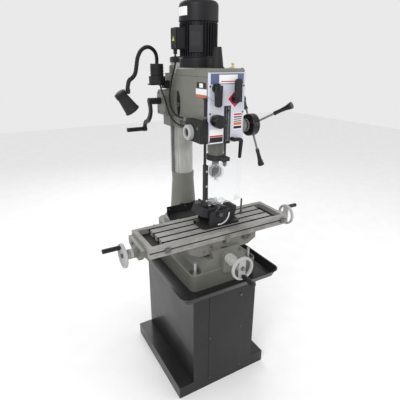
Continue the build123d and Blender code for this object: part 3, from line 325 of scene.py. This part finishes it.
BRIGHT = metal("plated_steel", (0.62, 0.62, 0.61), (0.35, 0.34, 0.33), (40.0, 40.0, 40.0), 5.0,
               0.2, 0.34, 0.06, 0.4)
WHEEL = metal("wheel_metal", (0.50, 0.51, 0.50), (0.34, 0.34, 0.33), (30.0, 60.0, 60.0), 6.0,
              0.28, 0.42, 0.08, 0.4, 0.35)
SHIELD = clear_sheet()
BUTTON_GREEN = plain("button_green", (0.02, 0.10, 0.035), 0.35)

NODE_FINISH = {
    CAST_PAINT: ("base_casting", "column_foot", "saddle", "table_brackets", "head_casting", "head_lid",
                 "lift_gearbox"),
    BRIGHT: ("base_bolts",),
    BLACK_SHEET: ("plinth", "cabinet", "cabinet_panel", "chip_tray", "way_cover"),
    MOTOR_PAINT: ("motor_body", "fan_cowl", "terminal_box"),
    VISE_PAINT: ("vise_base", "vise_body", "vise_jaw", "lift_crank"),
    GLOSS_BLACK: ("column_cap", "crank_grip", "fine_feed", "quill_lock", "feed_hub", "feed_grips",
                  "table_grips", "cross_grip", "speed_lever_left", "speed_lever_right"),
    MATT_BLACK: ("drawbar_cover", "guard_switch_box", "guard_post", "stop_button", "lamp_stand",
                 "lamp_shade"),
    RUBBER: ("head_leads",),
    PANEL: ("front_panel",),
    GROUND: ("table",),
    COLUMN_STEEL: ("column_tube",),
    TURNED: ("column_rack", "table_screw", "cross_screw", "lift_pinion", "motor_rotor", "layshaft",
             "drive_sleeve", "quill", "quill_bearings", "spindle", "feed_spokes"),
    DARK_STEEL: ("drill_chuck", "depth_stop"),
    BOLT: ("table_lock", "table_fittings", "vise_screw", "head_bolts"),
    WHEEL: ("table_wheels", "cross_wheel"),
    SHIELD: ("guard_shield",),
}


def finish_nodes():
    for material, names in NODE_FINISH.items():
        for name in names:
            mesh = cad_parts[name].data
            mesh.materials.clear()
            mesh.materials.append(material)


# ---------------------------------------------------------------- meshes
def add_piece(name, bm, material, body, smooth=False):
    """Makes a finished piece of a closed bmesh, riding on a body."""
    bmesh.ops.remove_doubles(bm, verts=bm.verts, dist=1e-6)
    bmesh.ops.recalc_face_normals(bm, faces=bm.faces)
    mesh = bpy.data.meshes.new(name)
    bm.to_mesh(mesh)
    bm.free()
    mesh.materials.append(material)
    if smooth:
        mesh.shade_smooth()
        mesh.set_sharp_from_angle(angle=radians(38))
    piece = bpy.data.objects.new(name, mesh)
    bpy.context.collection.objects.link(piece)
    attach(piece, body)
    return piece


def add_block(bm, low_corner, high_corner, soften=0.0, place=None):
    """Adds a box with softened edges, in millimetres."""
    a, b = Vector(low_corner) * MM, Vector(high_corner) * MM
    made = bmesh.ops.create_cube(bm, size=1)["verts"]
    for v in made:
        v.co = Vector([a[i] + (v.co[i] + 0.5) * (b[i] - a[i]) for i in range(3)])
        if place is not None:
            v.co = place @ v.co
    if soften:
        edges = list({e for v in made for e in v.link_edges})
        bmesh.ops.bevel(bm, geom=edges, offset=soften * MM, segments=2, affect="EDGES", profile=0.6)


def turned(bm, profile, place, steps=40):
    """Adds a closed turned solid. The profile is (radius, height) in mm, pole to pole."""
    rings = []
    for r, h in profile:
        turns = [0] if r == 0 else [2 * pi * n / steps for n in range(steps)]
        rings.append([bm.verts.new(place @ (Vector((r * cos(a), r * sin(a), h)) * MM)) for a in turns])
    for under, over in zip(rings, rings[1:]):
        for n in range(steps):
            m = (n + 1) % steps
            corners = [under[n % len(under)], under[m % len(under)], over[m % len(over)],
                       over[n % len(over)]]
            corners = list(dict.fromkeys(corners))
            if len(corners) > 2:
                bm.faces.new(corners)


def stand(x, y, z, direction):
    """Matrix that stands local Z along a direction at a point in mm."""
    turn = Vector((0, 0, 1)).rotation_difference(Vector(direction)).to_matrix().to_4x4()
    return Matrix.Translation(mm(x, y, z)) @ turn


def blocks(name, boxes, material, body, soften=0.3):
    bm = bmesh.new()
    for corner, other in boxes:
        add_block(bm, corner, other, soften)
    return add_piece(name, bm, material, body)


def rounds(name, solids, material, body, steps=40):
    """Each solid is (profile, place)."""
    bm = bmesh.new()
    for profile, place in solids:
        turned(bm, profile, place, steps)
    return add_piece(name, bm, material, body, True)


# --------------------------------------------------------- geometry nodes
def stamp_tree(kind):
    """Stands one small shape on each point, turned to its aim and scaled by its size."""
    tree = bpy.data.node_groups.new("stamp_" + kind, "GeometryNodeTree")
    face = tree.interface
    face.new_socket("Geometry", in_out="INPUT", socket_type="NodeSocketGeometry")
    for label in ("Width", "Depth", "Height"):
        face.new_socket(label, in_out="INPUT", socket_type="NodeSocketFloat")
    face.new_socket("Material", in_out="INPUT", socket_type="NodeSocketMaterial")
    face.new_socket("Geometry", in_out="OUTPUT", socket_type="NodeSocketGeometry")
    new, link = tree.nodes.new, tree.links.new
    inp, out = new("NodeGroupInput"), new("NodeGroupOutput")
    if kind == "block":
        shape = new("GeometryNodeMeshCube")
        size = new("ShaderNodeCombineXYZ")
        for label, axis in (("Width", "X"), ("Depth", "Y"), ("Height", "Z")):
            link(inp.outputs[label], size.inputs[axis])
        link(size.outputs[0], shape.inputs["Size"])
        body = shape.outputs["Mesh"]
    else:
        shape = new("GeometryNodeMeshCylinder")
        shape.inputs["Vertices"].default_value = {"round": 24, "hex": 6, "screw": 20}[kind]
        link(inp.outputs["Width"], shape.inputs["Radius"])
        link(inp.outputs["Height"], shape.inputs["Depth"])
        body = shape.outputs["Mesh"]
    if kind == "screw":
        body = sink_socket(tree, body, inp.outputs["Depth"])
    turn, scale = new("GeometryNodeInputNamedAttribute"), new("GeometryNodeInputNamedAttribute")
    for node, label in ((turn, "turn"), (scale, "size")):
        node.data_type = "FLOAT_VECTOR"
        node.inputs["Name"].default_value = label
    as_turn = new("FunctionNodeEulerToRotation")
    link(turn.outputs[0], as_turn.inputs[0])
    place = new("GeometryNodeInstanceOnPoints")
    link(inp.outputs["Geometry"], place.inputs["Points"])
    link(body, place.inputs["Instance"])
    link(as_turn.outputs[0], place.inputs["Rotation"])
    link(scale.outputs[0], place.inputs["Scale"])
    real, dress = new("GeometryNodeRealizeInstances"), new("GeometryNodeSetMaterial")
    link(place.outputs[0], real.inputs[0])
    link(real.outputs[0], dress.inputs["Geometry"])
    link(inp.outputs["Material"], dress.inputs["Material"])
    link(dress.outputs[0], out.inputs[0])
    return tree


def sink_socket(tree, body, depth):
    """Sinks a round socket into the top face of a screw's head."""
    new, link = tree.nodes.new, tree.links.new
    normal, split, top = new("GeometryNodeInputNormal"), new("ShaderNodeSeparateXYZ"), new("ShaderNodeMath")
    top.operation = "GREATER_THAN"
    top.inputs[1].default_value = 0.9
    link(normal.outputs[0], split.inputs[0])
    link(split.outputs["Z"], top.inputs[0])
    rim, shrink, sink = (new("GeometryNodeExtrudeMesh"), new("GeometryNodeScaleElements"),
                         new("GeometryNodeExtrudeMesh"))
    for node in (rim, sink):
        node.mode = "FACES"
    link(body, rim.inputs["Mesh"])
    link(top.outputs[0], rim.inputs["Selection"])
    rim.inputs["Offset Scale"].default_value = 0
    link(rim.outputs["Mesh"], shrink.inputs["Geometry"])
    link(rim.outputs["Top"], shrink.inputs["Selection"])
    shrink.inputs["Scale"].default_value = 0.55
    link(shrink.outputs["Geometry"], sink.inputs["Mesh"])
    link(rim.outputs["Top"], sink.inputs["Selection"])
    down = new("ShaderNodeMath")
    down.operation = "MULTIPLY"
    down.inputs[1].default_value = -1
    link(depth, down.inputs[0])
    link(down.outputs[0], sink.inputs["Offset Scale"])
    return sink.outputs["Mesh"]


STAMPS = {kind: stamp_tree(kind) for kind in ("block", "round", "hex", "screw")}


def stamp(name, kind, size, spots, material, body):
    """spots are (point in mm, turn as XYZ angles, scale); size is in mm."""
    cloud = bpy.data.meshes.new(name + "_points")
    cloud.from_pydata([Vector(p) * MM for p, _, _ in spots], [], [])
    for label, column in (("turn", 1), ("size", 2)):
        data = cloud.attributes.new(label, "FLOAT_VECTOR", "POINT").data
        for item, spot in zip(data, spots):
            item.vector = spot[column]
    grower = bpy.data.objects.new(name + "_grower", cloud)
    bpy.context.collection.objects.link(grower)
    live = grower.modifiers.new("stamp", "NODES")
    live.node_group = STAMPS[kind]
    named = {s.name: s.identifier for s in live.node_group.interface.items_tree if s.in_out == "INPUT"}
    for label, value in zip(("Width", "Depth", "Height"), size):
        live[named[label]] = value * MM
    live[named["Material"]] = material
    bpy.context.view_layer.update()
    mesh = bpy.data.meshes.new_from_object(grower.evaluated_get(bpy.context.evaluated_depsgraph_get()))
    mesh.name = name
    grower.modifiers.remove(live)
    bpy.data.objects.remove(grower)
    piece = bpy.data.objects.new(name, mesh)
    bpy.context.collection.objects.link(piece)
    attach(piece, body)
    return piece


def turn_to(direction):
    """XYZ angles that take local Z to a direction."""
    return tuple(Vector((0, 0, 1)).rotation_difference(Vector(direction)).to_euler())


def spots_facing(points, direction):
    turn = turn_to(direction)
    return [(p, turn, (1, 1, 1)) for p in points]


# ------------------------------------------------------------- front panel
def banded_label(name, x0, x1, z0, z1, bands, body="head"):
    """Blank label plate on the panel: (from, to, material) bands up its height."""
    y = PANEL_FRONT
    blocks(name + "_plate", [((x0, y - 0.5, z0), (x1, y + 0.2, z1))], WHITE, body, 0.2)
    for n, (a, b, material) in enumerate(bands):
        za, zb = z0 + (z1 - z0) * a, z0 + (z1 - z0) * b
        blocks(f"{name}_band_{n}", [((x0 + 2, y - 0.8, za), (x1 - 2, y - 0.3, zb))], material, body,
               0.1)


def add_panel():
    y = PANEL_FRONT
    blocks("panel_header", [((-86, y - 0.6, 1664), (86, y + 0.3, 1708))], BLUE, "head")
    blocks("panel_badge", [((-44, y - 1.6, 1667), (52, y - 0.4, 1703))], WHITE, "head", 0.6)
    blocks("panel_badge_field", [((-34, y - 2.0, 1673), (42, y - 1.4, 1677))], RED, "head",
           0.3)
    strips = [((-14, y - 0.9, 1400), (2.6, y + 0.2, 1571)), ((11.4, y - 0.9, 1400), (22, y + 0.2, 1571)),
              ((2.6, y - 0.9, 1400), (11.4, y + 0.2, 1414)), ((2.6, y - 0.9, 1568.4), (11.4, y + 0.2, 1571))]
    blocks("depth_scale", strips, DARK, "head", 0.15)
    spots = []
    for n in range(33):
        z = 1416 + n * 4.6
        length = 1.0 if n % 5 == 0 else 0.55
        spots.append(((1.4 - 3 * length, y - 0.95, z), (0, 0, 0), (length, 1, 1)))
        spots.append(((12.6 + 3 * length, y - 0.95, z), (0, 0, 0), (length, 1, 1)))
    stamp("depth_scale_marks", "block", (6, 0.3, 0.7), spots, PANEL, "head")
    x, z = LEVER_RIGHT
    add_diamond(x, z, 41)
    banded_label("notice_right", 38, 86, 1461, 1537,
                 [(0.86, 0.97, RED), (0.72, 0.80, DARK), (0.60, 0.66, DARK), (0.48, 0.54, DARK),
                  (0.28, 0.44, ORANGE), (0.06, 0.22, DARK)])
    banded_label("notice_left", -90, -16, 1408, 1471, [(0.44, 0.56, RED), (0.05, 0.42, DARK)])
    arcs = []
    for n in range(-4, 5):
        a = radians(n * 11)
        x, z = LEVER_LEFT
        arcs.append(((x + 52 * sin(a), y - 0.3, z - 52 * cos(a)), (0, a, 0), (1, 1, 1 if n % 2 else 1.8)))
    stamp("range_marks", "block", (1.2, 0.6, 5), arcs, DARK, "head")
    corners = [(px, y, pz) for px in (-88, 88) for pz in (1414, 1540, 1656)]
    stamp("panel_screws", "screw", (4.2, 1.6, 3.4), spots_facing(corners, FRONT), BOLT, "head")


def add_diamond(x, z, half):
    """Diamond plate behind the right lever, with a pale rim."""
    for name, size, depth, material in (("diamond_rim", half, 0.5, WHITE), ("diamond", half - 3, 0.9, RED)):
        bm = bmesh.new()
        place = Matrix.Translation(mm(x, PANEL_FRONT, z)) @ Matrix.Rotation(radians(45), 4, "Y")
        side = size / 2**0.5
        add_block(bm, (-side, -depth, -side), (side, 0.2, side), 0.15, place)
        add_piece("speed_" + name, bm, material, "head")


# ------------------------------------------------------------ head details
def add_head():
    side = HEAD_LEFT
    labels = (("frame", 0.2, -238, -158, 1644, 1670, DARK), ("field", 0.7, -214, -182, 1648, 1666, WHITE),
              ("sheet", 0.2, -246, -150, 1618, 1643, WHITE), ("strip", 0.6, -246, -150, 1606, 1617, ORANGE))
    for name, out, y0, y1, z0, z1, material in labels:
        blocks("side_notice_" + name, [((side - 0.4 - out, y0, z0), (side + 0.1, y1, z1))], material, "head",
               0.15)
    blocks("side_pad", [((side - 3, -236, 1522), (side + 0.5, -176, 1566))], CAST_PAINT, "head",
           1)
    # Thin dark oval plate on the floor of the head's side recess: painted shade.
    bm = bmesh.new()
    place = Matrix.Translation(mm(side + 8, 37, 1557)) @ Matrix.Diagonal((1, 27 / 65, 1, 1))
    turned(bm, [(0, -0.3), (65, -0.3), (65, 0.5), (0, 0.5)], place @ Matrix.Rotation(-pi / 2, 4, "Y"), 64)
    add_piece("recess_painted_shade", bm, PAINTED_SHADE, "head", True)
    blocks("right_plate", [((98 - 0.2, -150, 1600), (98.6, -60, 1650))], WHITE, "head", 0.2)
    glass = stand(98, -20, 1560, RIGHT)
    rounds("oil_sight_rim", [([(0, 0), (16, 0), (16, 3), (12, 5), (10, 5), (10, 2), (0, 2)], glass)], BOLT,
           "head")
    rounds("oil_sight_glass", [([(0, 1.5), (9.8, 1.5), (9.8, 3.6), (0, 3.6)], glass)], YELLOW, "head")
    filler = [(0, -1), (8, -1), (8, 5), (5, 6), (5, 16), (7, 17), (7, 22), (0, 24)]
    rounds("oil_filler", [(filler, stand(43, -232, 1728, UP))], BRASS, "head")
    lid = [(x, y, 1728) for x in (-88, 88) for y in (-242, -150, 45)]
    stamp("lid_screws", "screw", (5.5, 3, 5), spots_facing(lid, UP), BOLT, "head")
    flange = [(84 * cos(a), 84 * sin(a), 1746) for a in (pi / 4, 3 * pi / 4, 5 * pi / 4, 7 * pi / 4)]
    stamp("flange_bolts", "hex", (7, 0, 7), spots_facing(flange, UP), BOLT, "head")
    seam = [((HEAD_LEFT - 0.25, -253, 1693), (HEAD_LEFT + 0.5, 58, 1694.4)),
            ((97.5, -253, 1693), (98.25, 58, 1694.4))]
    blocks("lid_seam", seam, DARK, "head", 0.1)
    gear = [(-138, y, z) for y, z in ((116, 1508), (192, 1508), (128, 1602), (180, 1602))]
    stamp("gearbox_screws", "screw", (5, 3, 5), spots_facing(gear, LEFT), BOLT, "head")


def add_motor():
    """Name plate, stickers, ribs of the cowl, the terminal box's lid and their screws."""
    turn = Matrix.Rotation(radians(233), 4, "Z")
    bm = bmesh.new()
    add_block(bm, (91.6, -24, 1822), (92.6, 24, 1882), 0.3, turn)
    add_piece("name_plate", bm, VISE_PAINT, "head")
    bm = bmesh.new()
    for n in range(11):
        place = Matrix.Rotation(radians(165 + n * 4), 4, "Z")
        add_block(bm, (92.6, -3.3, 1950), (93.5, 3.3, 1986), 0, place)
    add_piece("cowl_sticker", bm, WHITE, "head")
    bands = []
    for n in range(60):
        a = 2 * pi * n / 60
        bands.append(((93 * cos(a), 93 * sin(a), 1934), (0, 0, a), ONE))
    stamp("cowl_beading", "block", (1.6, 9.9, 3), bands, MOTOR_PAINT, "head")
    lid = low("terminal_box").x
    blocks("terminal_lid", [((lid - 3, -33, 1811), (lid + 0.2, 21, 1897))], MOTOR_PAINT, "head",
           1.2)
    corners = [(lid - 3, y, z) for y in (-27, 15) for z in (1817, 1891)]
    stamp("terminal_screws", "screw", (3.2, 1.2, 2), spots_facing(corners, LEFT), BOLT, "head")
    bm = bmesh.new()
    plane = lid - 3.2
    tri = [mm(plane, -18, 1844), mm(plane, 4, 1844), mm(plane, -7, 1864)]
    under = [bm.verts.new(p) for p in tri]
    over = [bm.verts.new(p - mm(0.5, 0, 0)) for p in tri]
    bm.faces.new(under)
    bm.faces.new(over[::-1])
    for n in range(3):
        m = (n + 1) % 3
        bm.faces.new((under[n], over[n], over[m], under[m]))
    add_piece("terminal_triangle", bm, YELLOW, "head")


def add_controls():
    """Marks and ribs of the knobs and levers, the hub's cap, the switch box's buttons."""
    x, z = KNOB
    y = PANEL_FRONT - 39
    ribs = []
    for n in range(28):
        a = 2 * pi * n / 28
        ribs.append(((x + 27.8 * cos(a), y, z + 27.8 * sin(a)), (0, -a, 0), ONE))
    stamp("fine_feed_ribs", "block", (2.2, 34, 2.6), ribs, GLOSS_BLACK, "fine_knob")
    cap = [(0, -2), (17, -2), (17, 1), (14, 2.4), (0, 2.4)]
    rounds("fine_feed_cap", [(cap, stand(x, PANEL_FRONT - 60, z, FRONT))], MATT_BLACK, "fine_knob")
    marks = []
    for n in range(40):
        a = 2 * pi * n / 40
        marks.append(((x + 24 * cos(a), PANEL_FRONT - 8, z + 24 * sin(a)), (0, -a, 0), ONE))
    stamp("fine_feed_marks", "block", (0.5, 5, 0.6), marks, WHITE, "fine_knob")
    for name, body, (x, z) in (("range", "lever_left", LEVER_LEFT), ("speed", "lever_right", LEVER_RIGHT)):
        front = PANEL_FRONT - 32
        rounds(name + "_lever_cap", [([(0, -1), (9, -1), (9, 2), (7, 3.4), (0, 3.4)],
                                      stand(x, front, z, FRONT))], GLOSS_BLACK, body)
    hub = [(0, -1), (26, -1), (26, 2), (22, 5), (8, 6.5), (0, 6.5)]
    rounds("hub_cap", [(hub, stand(189, FEED.y, FEED.z, RIGHT))], GLOSS_BLACK, "feed")
    rounds("hub_ring", [([(30, -2), (33, -2), (33, 0.8), (30, 0.8), (30, -2)],
                         stand(189, FEED.y, FEED.z, RIGHT))], BOLT, "feed")
    marks = []
    for n in range(60):
        a = 2 * pi * n / 60
        marks.append(((134, FEED.y + 30 * cos(a), FEED.z + 30 * sin(a)), (a, 0, 0),
                      (1 if n % 5 else 1.6, 1, 1)))
    stamp("feed_marks", "block", (6, 0.5, 0.6), marks, WHITE, "feed")
    side = SWITCH_LEFT
    blocks("switch_plate", [((side - 1.2, -254, 1418), (side + 0.2, -206, 1498))], MATT_BLACK, "head",
           0.6)
    shell = [(20.6, 0.3), (35.4, 0.3), (35.4, 19.4), (32.2, 22.4), (20.6, 22.4), (20.6, 0.3)]
    rounds("stop_collar", [(shell, stand(side, -158, 1449, LEFT))], WHEEL, "head", 64)
    push = [(0, -1), (8, -1), (8, 3), (6.5, 4.5), (0, 4.5)]
    rounds("start_button", [(push, stand(side - 1, -230, 1476, LEFT))], BUTTON_GREEN, "head")
    corners = [(side - 1.2, yy, zz) for yy in (-249, -211) for zz in (1424, 1492)]
    stamp("switch_screws", "screw", (3.2, 1.2, 2), spots_facing(corners, LEFT), BOLT, "head")


# -------------------------------------------------------------- lamp, guard
def add_lamp():
    """Ribs of the flexible neck, rings of the base, rings on the shade and its lens."""
    route = [(-146, 175, 1738), (-143, 172, 1778), (-166, 155, 1809), (-207, 130, 1824), (-256, 95, 1809),
             (-292, 55, 1774), (-312, 20, 1736), (-330, -9, 1703), (-352, -27, 1686), (-374, -34, 1676),
             (-379, -35, 1645)]
    data = bpy.data.curves.new("neck_line", "CURVE")
    data.dimensions = "3D"
    data.resolution_u = 24
    spline = data.splines.new("NURBS")
    spline.points.add(len(route) - 1)
    for point, place in zip(spline.points, route):
        point.co = (*mm(*place), 1)
    spline.order_u = 3
    spline.use_endpoint_u = True
    line = bpy.data.objects.new("neck_line", data)
    bpy.context.collection.objects.link(line)
    bpy.context.view_layer.update()
    path = [v.co / MM for v in bpy.data.meshes.new_from_object(
        line.evaluated_get(bpy.context.evaluated_depsgraph_get())).vertices]
    bpy.data.objects.remove(line)
    spots, gone, due = [], 0.0, 4.0
    for a, b in zip(path, path[1:]):
        step = (b - a).length
        while step > 0 and due <= gone + step:
            spots.append((a.lerp(b, (due - gone) / step), turn_to(b - a), ONE))
            due += 4.4
        gone += step
    stamp("neck_ribs", "round", (9.2, 0, 2.8), spots, MATT_BLACK, "head")
    base = stand(*LAMP_BASE, 0, UP)
    bands = [([(33, z), (35, z), (35, z + 5), (33, z + 5), (33, z)], base) for z in (1694, 1708, 1722)]
    rounds("lamp_base_bands", bands, MATT_BLACK, "head")
    place = Matrix.Translation(mm(*SHADE)) @ Matrix.Rotation(radians(145), 4, "Y")
    rings = [([(24, h), (27, h), (27, h + 4), (24, h + 4), (24, h)], place) for h in (-42, -34, -26)]
    rings.append(([(31.4, 50), (35, 50), (35, 54.5), (31.4, 54.5), (31.4, 50)], place))
    rounds("shade_rings", rings, MATT_BLACK, "lamp_head")
    rounds("shade_lens", [([(0, 47), (30, 47), (30, 49.4), (0, 49.4)], place)],
           plain("lens_frost", (0.85, 0.86, 0.84), 0.25), "lamp_head")


def add_guard():
    screws = [(-109, -271, z) for z in (1140, 1212, 1284)]
    stamp("shield_screws", "screw", (5, 1.5, 5), spots_facing(screws, FRONT), BRIGHT, "guard")
    cap = [(0, 0), (10, 0), (10, 6), (8, 9), (0, 9)]
    rounds("post_cap", [(cap, stand(-108, -252, 1600, UP))], GLOSS_BLACK, "guard")
    nut = [(0, 0), (9.4, 0), (9.4, 8), (8, 10), (0, 10)]
    rounds("post_nut", [(nut, stand(-108, -252, 1520, UP))], BOLT, "guard", 8)


def add_quill():
    """Key holes and teeth of the chuck, its jaws, and the screw of the quill's stop ring."""
    teeth = []
    for n in range(36):
        a = 2 * pi * n / 36
        teeth.append(((29.6 * cos(a), SPINDLE_Y + 29.6 * sin(a), 1238), (0, 0, a), ONE))
    stamp("chuck_teeth", "block", (4, 2.4, 5), teeth, TURNED, "spindle_set")
    jaws = []
    for n in range(3):
        a = 2 * pi * n / 3
        jaws.append(((4.4 * cos(a), SPINDLE_Y + 4.4 * sin(a), 1209), (0, 0, a), ONE))
    stamp("chuck_jaws", "block", (5, 3.4, 22), jaws, TURNED, "spindle_set")
    # Dark discs for the chuck's key holes: painted shade of the holes.
    holes = []
    for n in range(3):
        a = 2 * pi * n / 3 + 0.4
        spot = (30.9 * cos(a), SPINDLE_Y + 30.9 * sin(a), 1251)
        holes.append((spot, turn_to((cos(a), sin(a), 0)), ONE))
    stamp("chuck_key_holes", "round", (4, 0, 0.6), holes, DARK, "spindle_set")
    stamp("stop_ring_screw", "screw", (4.5, 2, 8), spots_facing([(45, SPINDLE_Y, 1320)], RIGHT), BOLT,
          "quill_slide")


# -------------------------------------------------------------- cross table
def wheel_marks(name, centre, axis, body):
    """Graduations around a handwheel's dial."""
    spots = []
    for n in range(50):
        a = 2 * pi * n / 50
        size = (1, 1, 1.7 if n % 5 == 0 else 1)
        if axis == "x":
            point = (centre[0], centre[1] + 24 * cos(a), centre[2] + 24 * sin(a))
            spots.append((point, (a, 0, 0), (size[2], 1, 1)))
        else:
            point = (centre[0] + 24 * cos(a), centre[1], centre[2] + 24 * sin(a))
            spots.append((point, (0, -a, 0), (1, size[2], 1)))
    size = (5, 0.6, 0.6) if axis == "x" else (0.6, 5, 0.6)
    stamp(name, "block", size, spots, DARK, body)


def add_table():
    wheel_marks("left_dial_marks", (-499.5 + 30, TABLE_Y, X_SCREW_Z), "x", "table_feed")
    wheel_marks("right_dial_marks", (517.5 - 30, TABLE_Y, X_SCREW_Z), "x", "table_feed")
    wheel_marks("cross_dial_marks", (0, -435 + 30, CROSS_Z), "y", "cross_feed")
    nut = [(0, -2), (12, -2), (12, 7), (9, 10), (0, 10)]
    ends = [(nut, stand(-499.5, TABLE_Y, X_SCREW_Z, LEFT)), (nut, stand(517.5, TABLE_Y, X_SCREW_Z, RIGHT))]
    rounds("table_wheel_nuts", ends, BOLT, "table_feed", 6)
    rounds("cross_wheel_nut", [(nut, stand(0, -435, CROSS_Z, FRONT))], BOLT, "cross_feed", 6)
    marks = []
    for n in range(101):
        x = -380 + n * 7.6
        tall = 1.8 if n % 10 == 0 else (1.35 if n % 5 == 0 else 1)
        marks.append(((x, TABLE_FRONT - 0.1, 921 + 2.5 * tall), (0, 0, 0), (1, 1, tall)))
    stamp("table_rule_marks", "block", (0.6, 0.4, 5), marks, DARK, "table_slide")
    for side, name in ((-1, "left"), (1, "right")):
        points = [(side * 434, TABLE_Y + dy, 925) for dy in (-45, 45)]
        stamp(name + "_bracket_screws", "screw", (7, 4, 8), spots_facing(points, (side, 0, 0)), BOLT,
              "table_slide")
    # Dark discs for the trough drains: painted shade of the drain holes.
    drains = [(x, TABLE_Y + 84, 935.3) for x in (-357, 357)]
    stamp("trough_drains", "round", (6, 0, 0.8), spots_facing(drains, UP), DARK, "table_slide")
    # Dark strips on the T-slot floors and walls, and one just inside the table's front face: painted shade.
    shade_strips, half = [], 330
    for n in (-1.5, -0.5, 0.5, 1.5):
        y = TABLE_Y + SLOT_PITCH * n
        shade_strips.append(((-half, y - 11.8, TABLE_TOP - 24), (half, y + 11.8, TABLE_TOP - 23.6)))
        for edge in (-7, 6.7):
            shade_strips.append(((-half, y + edge, TABLE_TOP - 13), (half, y + edge + 0.3, TABLE_TOP - 1.2)))
    shade_strips.append(((-409, TABLE_FRONT + 5.6, 934.2), (409, TABLE_FRONT + 6, 941.8)))
    blocks("slot_shadow", shade_strips, PAINTED_SHADE, "table_slide", 0)
    # Dark plates on the trough floors: painted shade.
    floors = [((x - 29, TABLE_Y - 93, TABLE_TOP - 26), (x + 29, TABLE_Y + 93, TABLE_TOP - 25.4))
              for x in (-357, 357)]
    blocks("trough_painted_shade", floors, PAINTED_SHADE, "table_slide", 0)
    knobs = [(x, -273, z) for x, z in ((-79, 888), (-3, 892), (31, 889.5))]
    stamp("saddle_knobs", "round", (6.5, 0, 14), spots_facing(knobs, FRONT), BOLT, "saddle_slide")
    gib = [(x, -273, 866) for x in (-120, 60)]
    stamp("gib_screws", "screw", (5, 3, 4), spots_facing(gib, FRONT), BOLT, "saddle_slide")
    oil = [(-90, -273, 900), (160, -273, 884)]
    stamp("saddle_oilers", "round", (5, 0, 3), spots_facing(oil, FRONT), TURNED, "saddle_slide")


def half_ring(name, section, place):
    """Part ring from the vise's right to its foot: (radius, height) in mm, swept a little over a quarter."""
    bm, rings = bmesh.new(), []
    for n in range(25):
        a = radians(-2 + 4.4 * n)
        rings.append([bm.verts.new(place @ (Vector((r * cos(a), -r * sin(a), h)) * MM))
                      for r, h in section[:-1]])
    for first, second in zip(rings, rings[1:]):
        for n in range(len(first)):
            m = (n + 1) % len(first)
            bm.faces.new((first[n], first[m], second[m], second[n]))
    bm.faces.new(rings[0])
    bm.faces.new(rings[-1][::-1])
    add_piece(name, bm, WHITE, "table_slide")


def add_vise():
    marks = []
    for n in range(19):
        a = radians(-5 - n * 5)
        r = 54
        tall = 1.5 if n % 3 == 0 else 1
        marks.append(((r * cos(a), -229.5, 1030 + r * sin(a)), (0, -a, 0), (tall, 1, 1)))
    stamp("vise_marks", "block", (4.4, 0.4, 0.7), marks, DARK, "table_slide")
    arc = [(50.5, -0.2), (57.5, -0.2), (57.5, 0.35), (50.5, 0.35), (50.5, -0.2)]
    half_ring("vise_scale", arc, stand(VISE_PIVOT[0], VISE_PIVOT[1] - 64, VISE_PIVOT[2], FRONT))
    tilt = Matrix.Translation(mm(*VISE_PIVOT)) @ Matrix.Rotation(radians(24), 4, "Y")
    for name, body, a, b in (("fixed", "vise_tilting", -9.5, -8), ("moving", "vise_sliding", -34, -32.5)):
        bm = bmesh.new()
        add_block(bm, (a, -48, 10), (b, 48, 39.5 if name == "moving" else 43), 0.3, tilt)
        add_piece(name + "_jaw_plate", bm, TURNED, body)
    ring = [(12, 0), (17, 0), (17, 3), (12, 4), (12, 0)]
    face = stand(VISE_PIVOT[0], VISE_PIVOT[1] - 66, VISE_PIVOT[2], FRONT)
    rounds("vise_pivot_ring", [(ring, face)], VISE_PAINT, "vise_tilting")
    rounds("vise_pivot_nut", [([(0, 0), (10.5, 0), (10.5, 7), (9, 9), (0, 9)], face)],
           BOLT, "vise_tilting", 6)


# -------------------------------------------------------------------- stand
def add_stand():
    front = low("cabinet_panel").y
    rounds("panel_lock", [([(0, -1), (9, -1), (9, 3), (7, 5), (0, 5)], stand(100, front, 560, FRONT))], BOLT,
           "stand")
    holes = [(x, front, z) for x in (-96, 108) for z in (60, 340, 625)]
    stamp("panel_screws_low", "screw", (5, 2, 4), spots_facing(holes, FRONT), BOLT, "stand")
    width = 198
    seams = []
    for y in (-303, 303):
        for x in (-width, width):
            seams.append(((x - 0.6, y - 1.2, 80), (x + 0.6, y + 1.2, 655)))
    blocks("cabinet_folds", seams, BLACK_SHEET, "stand", 0.4)
    # Dark strips for the back vents: painted shade of the vent slots.
    vents = []
    for n in range(7):
        vents.append(((0, 304, 480 + n * 16), (0, 0, 0), ONE))
    stamp("back_vents", "block", (120, 1.6, 5), vents, DARK, "stand")
    rounds("tray_drain", [([(0, 0), (16, 0), (16, 2), (11, 3), (0, 3)], stand(240, 330, 665.5, UP))], BOLT,
           "stand")
    washers = [(x, y, 739) for x in (-165, 165) for y in (-262, 262)]
    stamp("stud_washers", "round", (18, 0, 2.4), spots_facing(washers, UP), BOLT, "stand")
    cover = [(x, 61.5, 985) for x in (-150, -50, 50, 150)]
    stamp("cover_screws", "screw", (4, 1.4, 2.4), spots_facing(cover, FRONT), BOLT, "stand")


add_camera()
add_studio()
finish_nodes()
add_panel()
add_head()
add_motor()
add_controls()
add_lamp()
add_guard()
add_quill()
add_table()
add_vise()
add_stand()
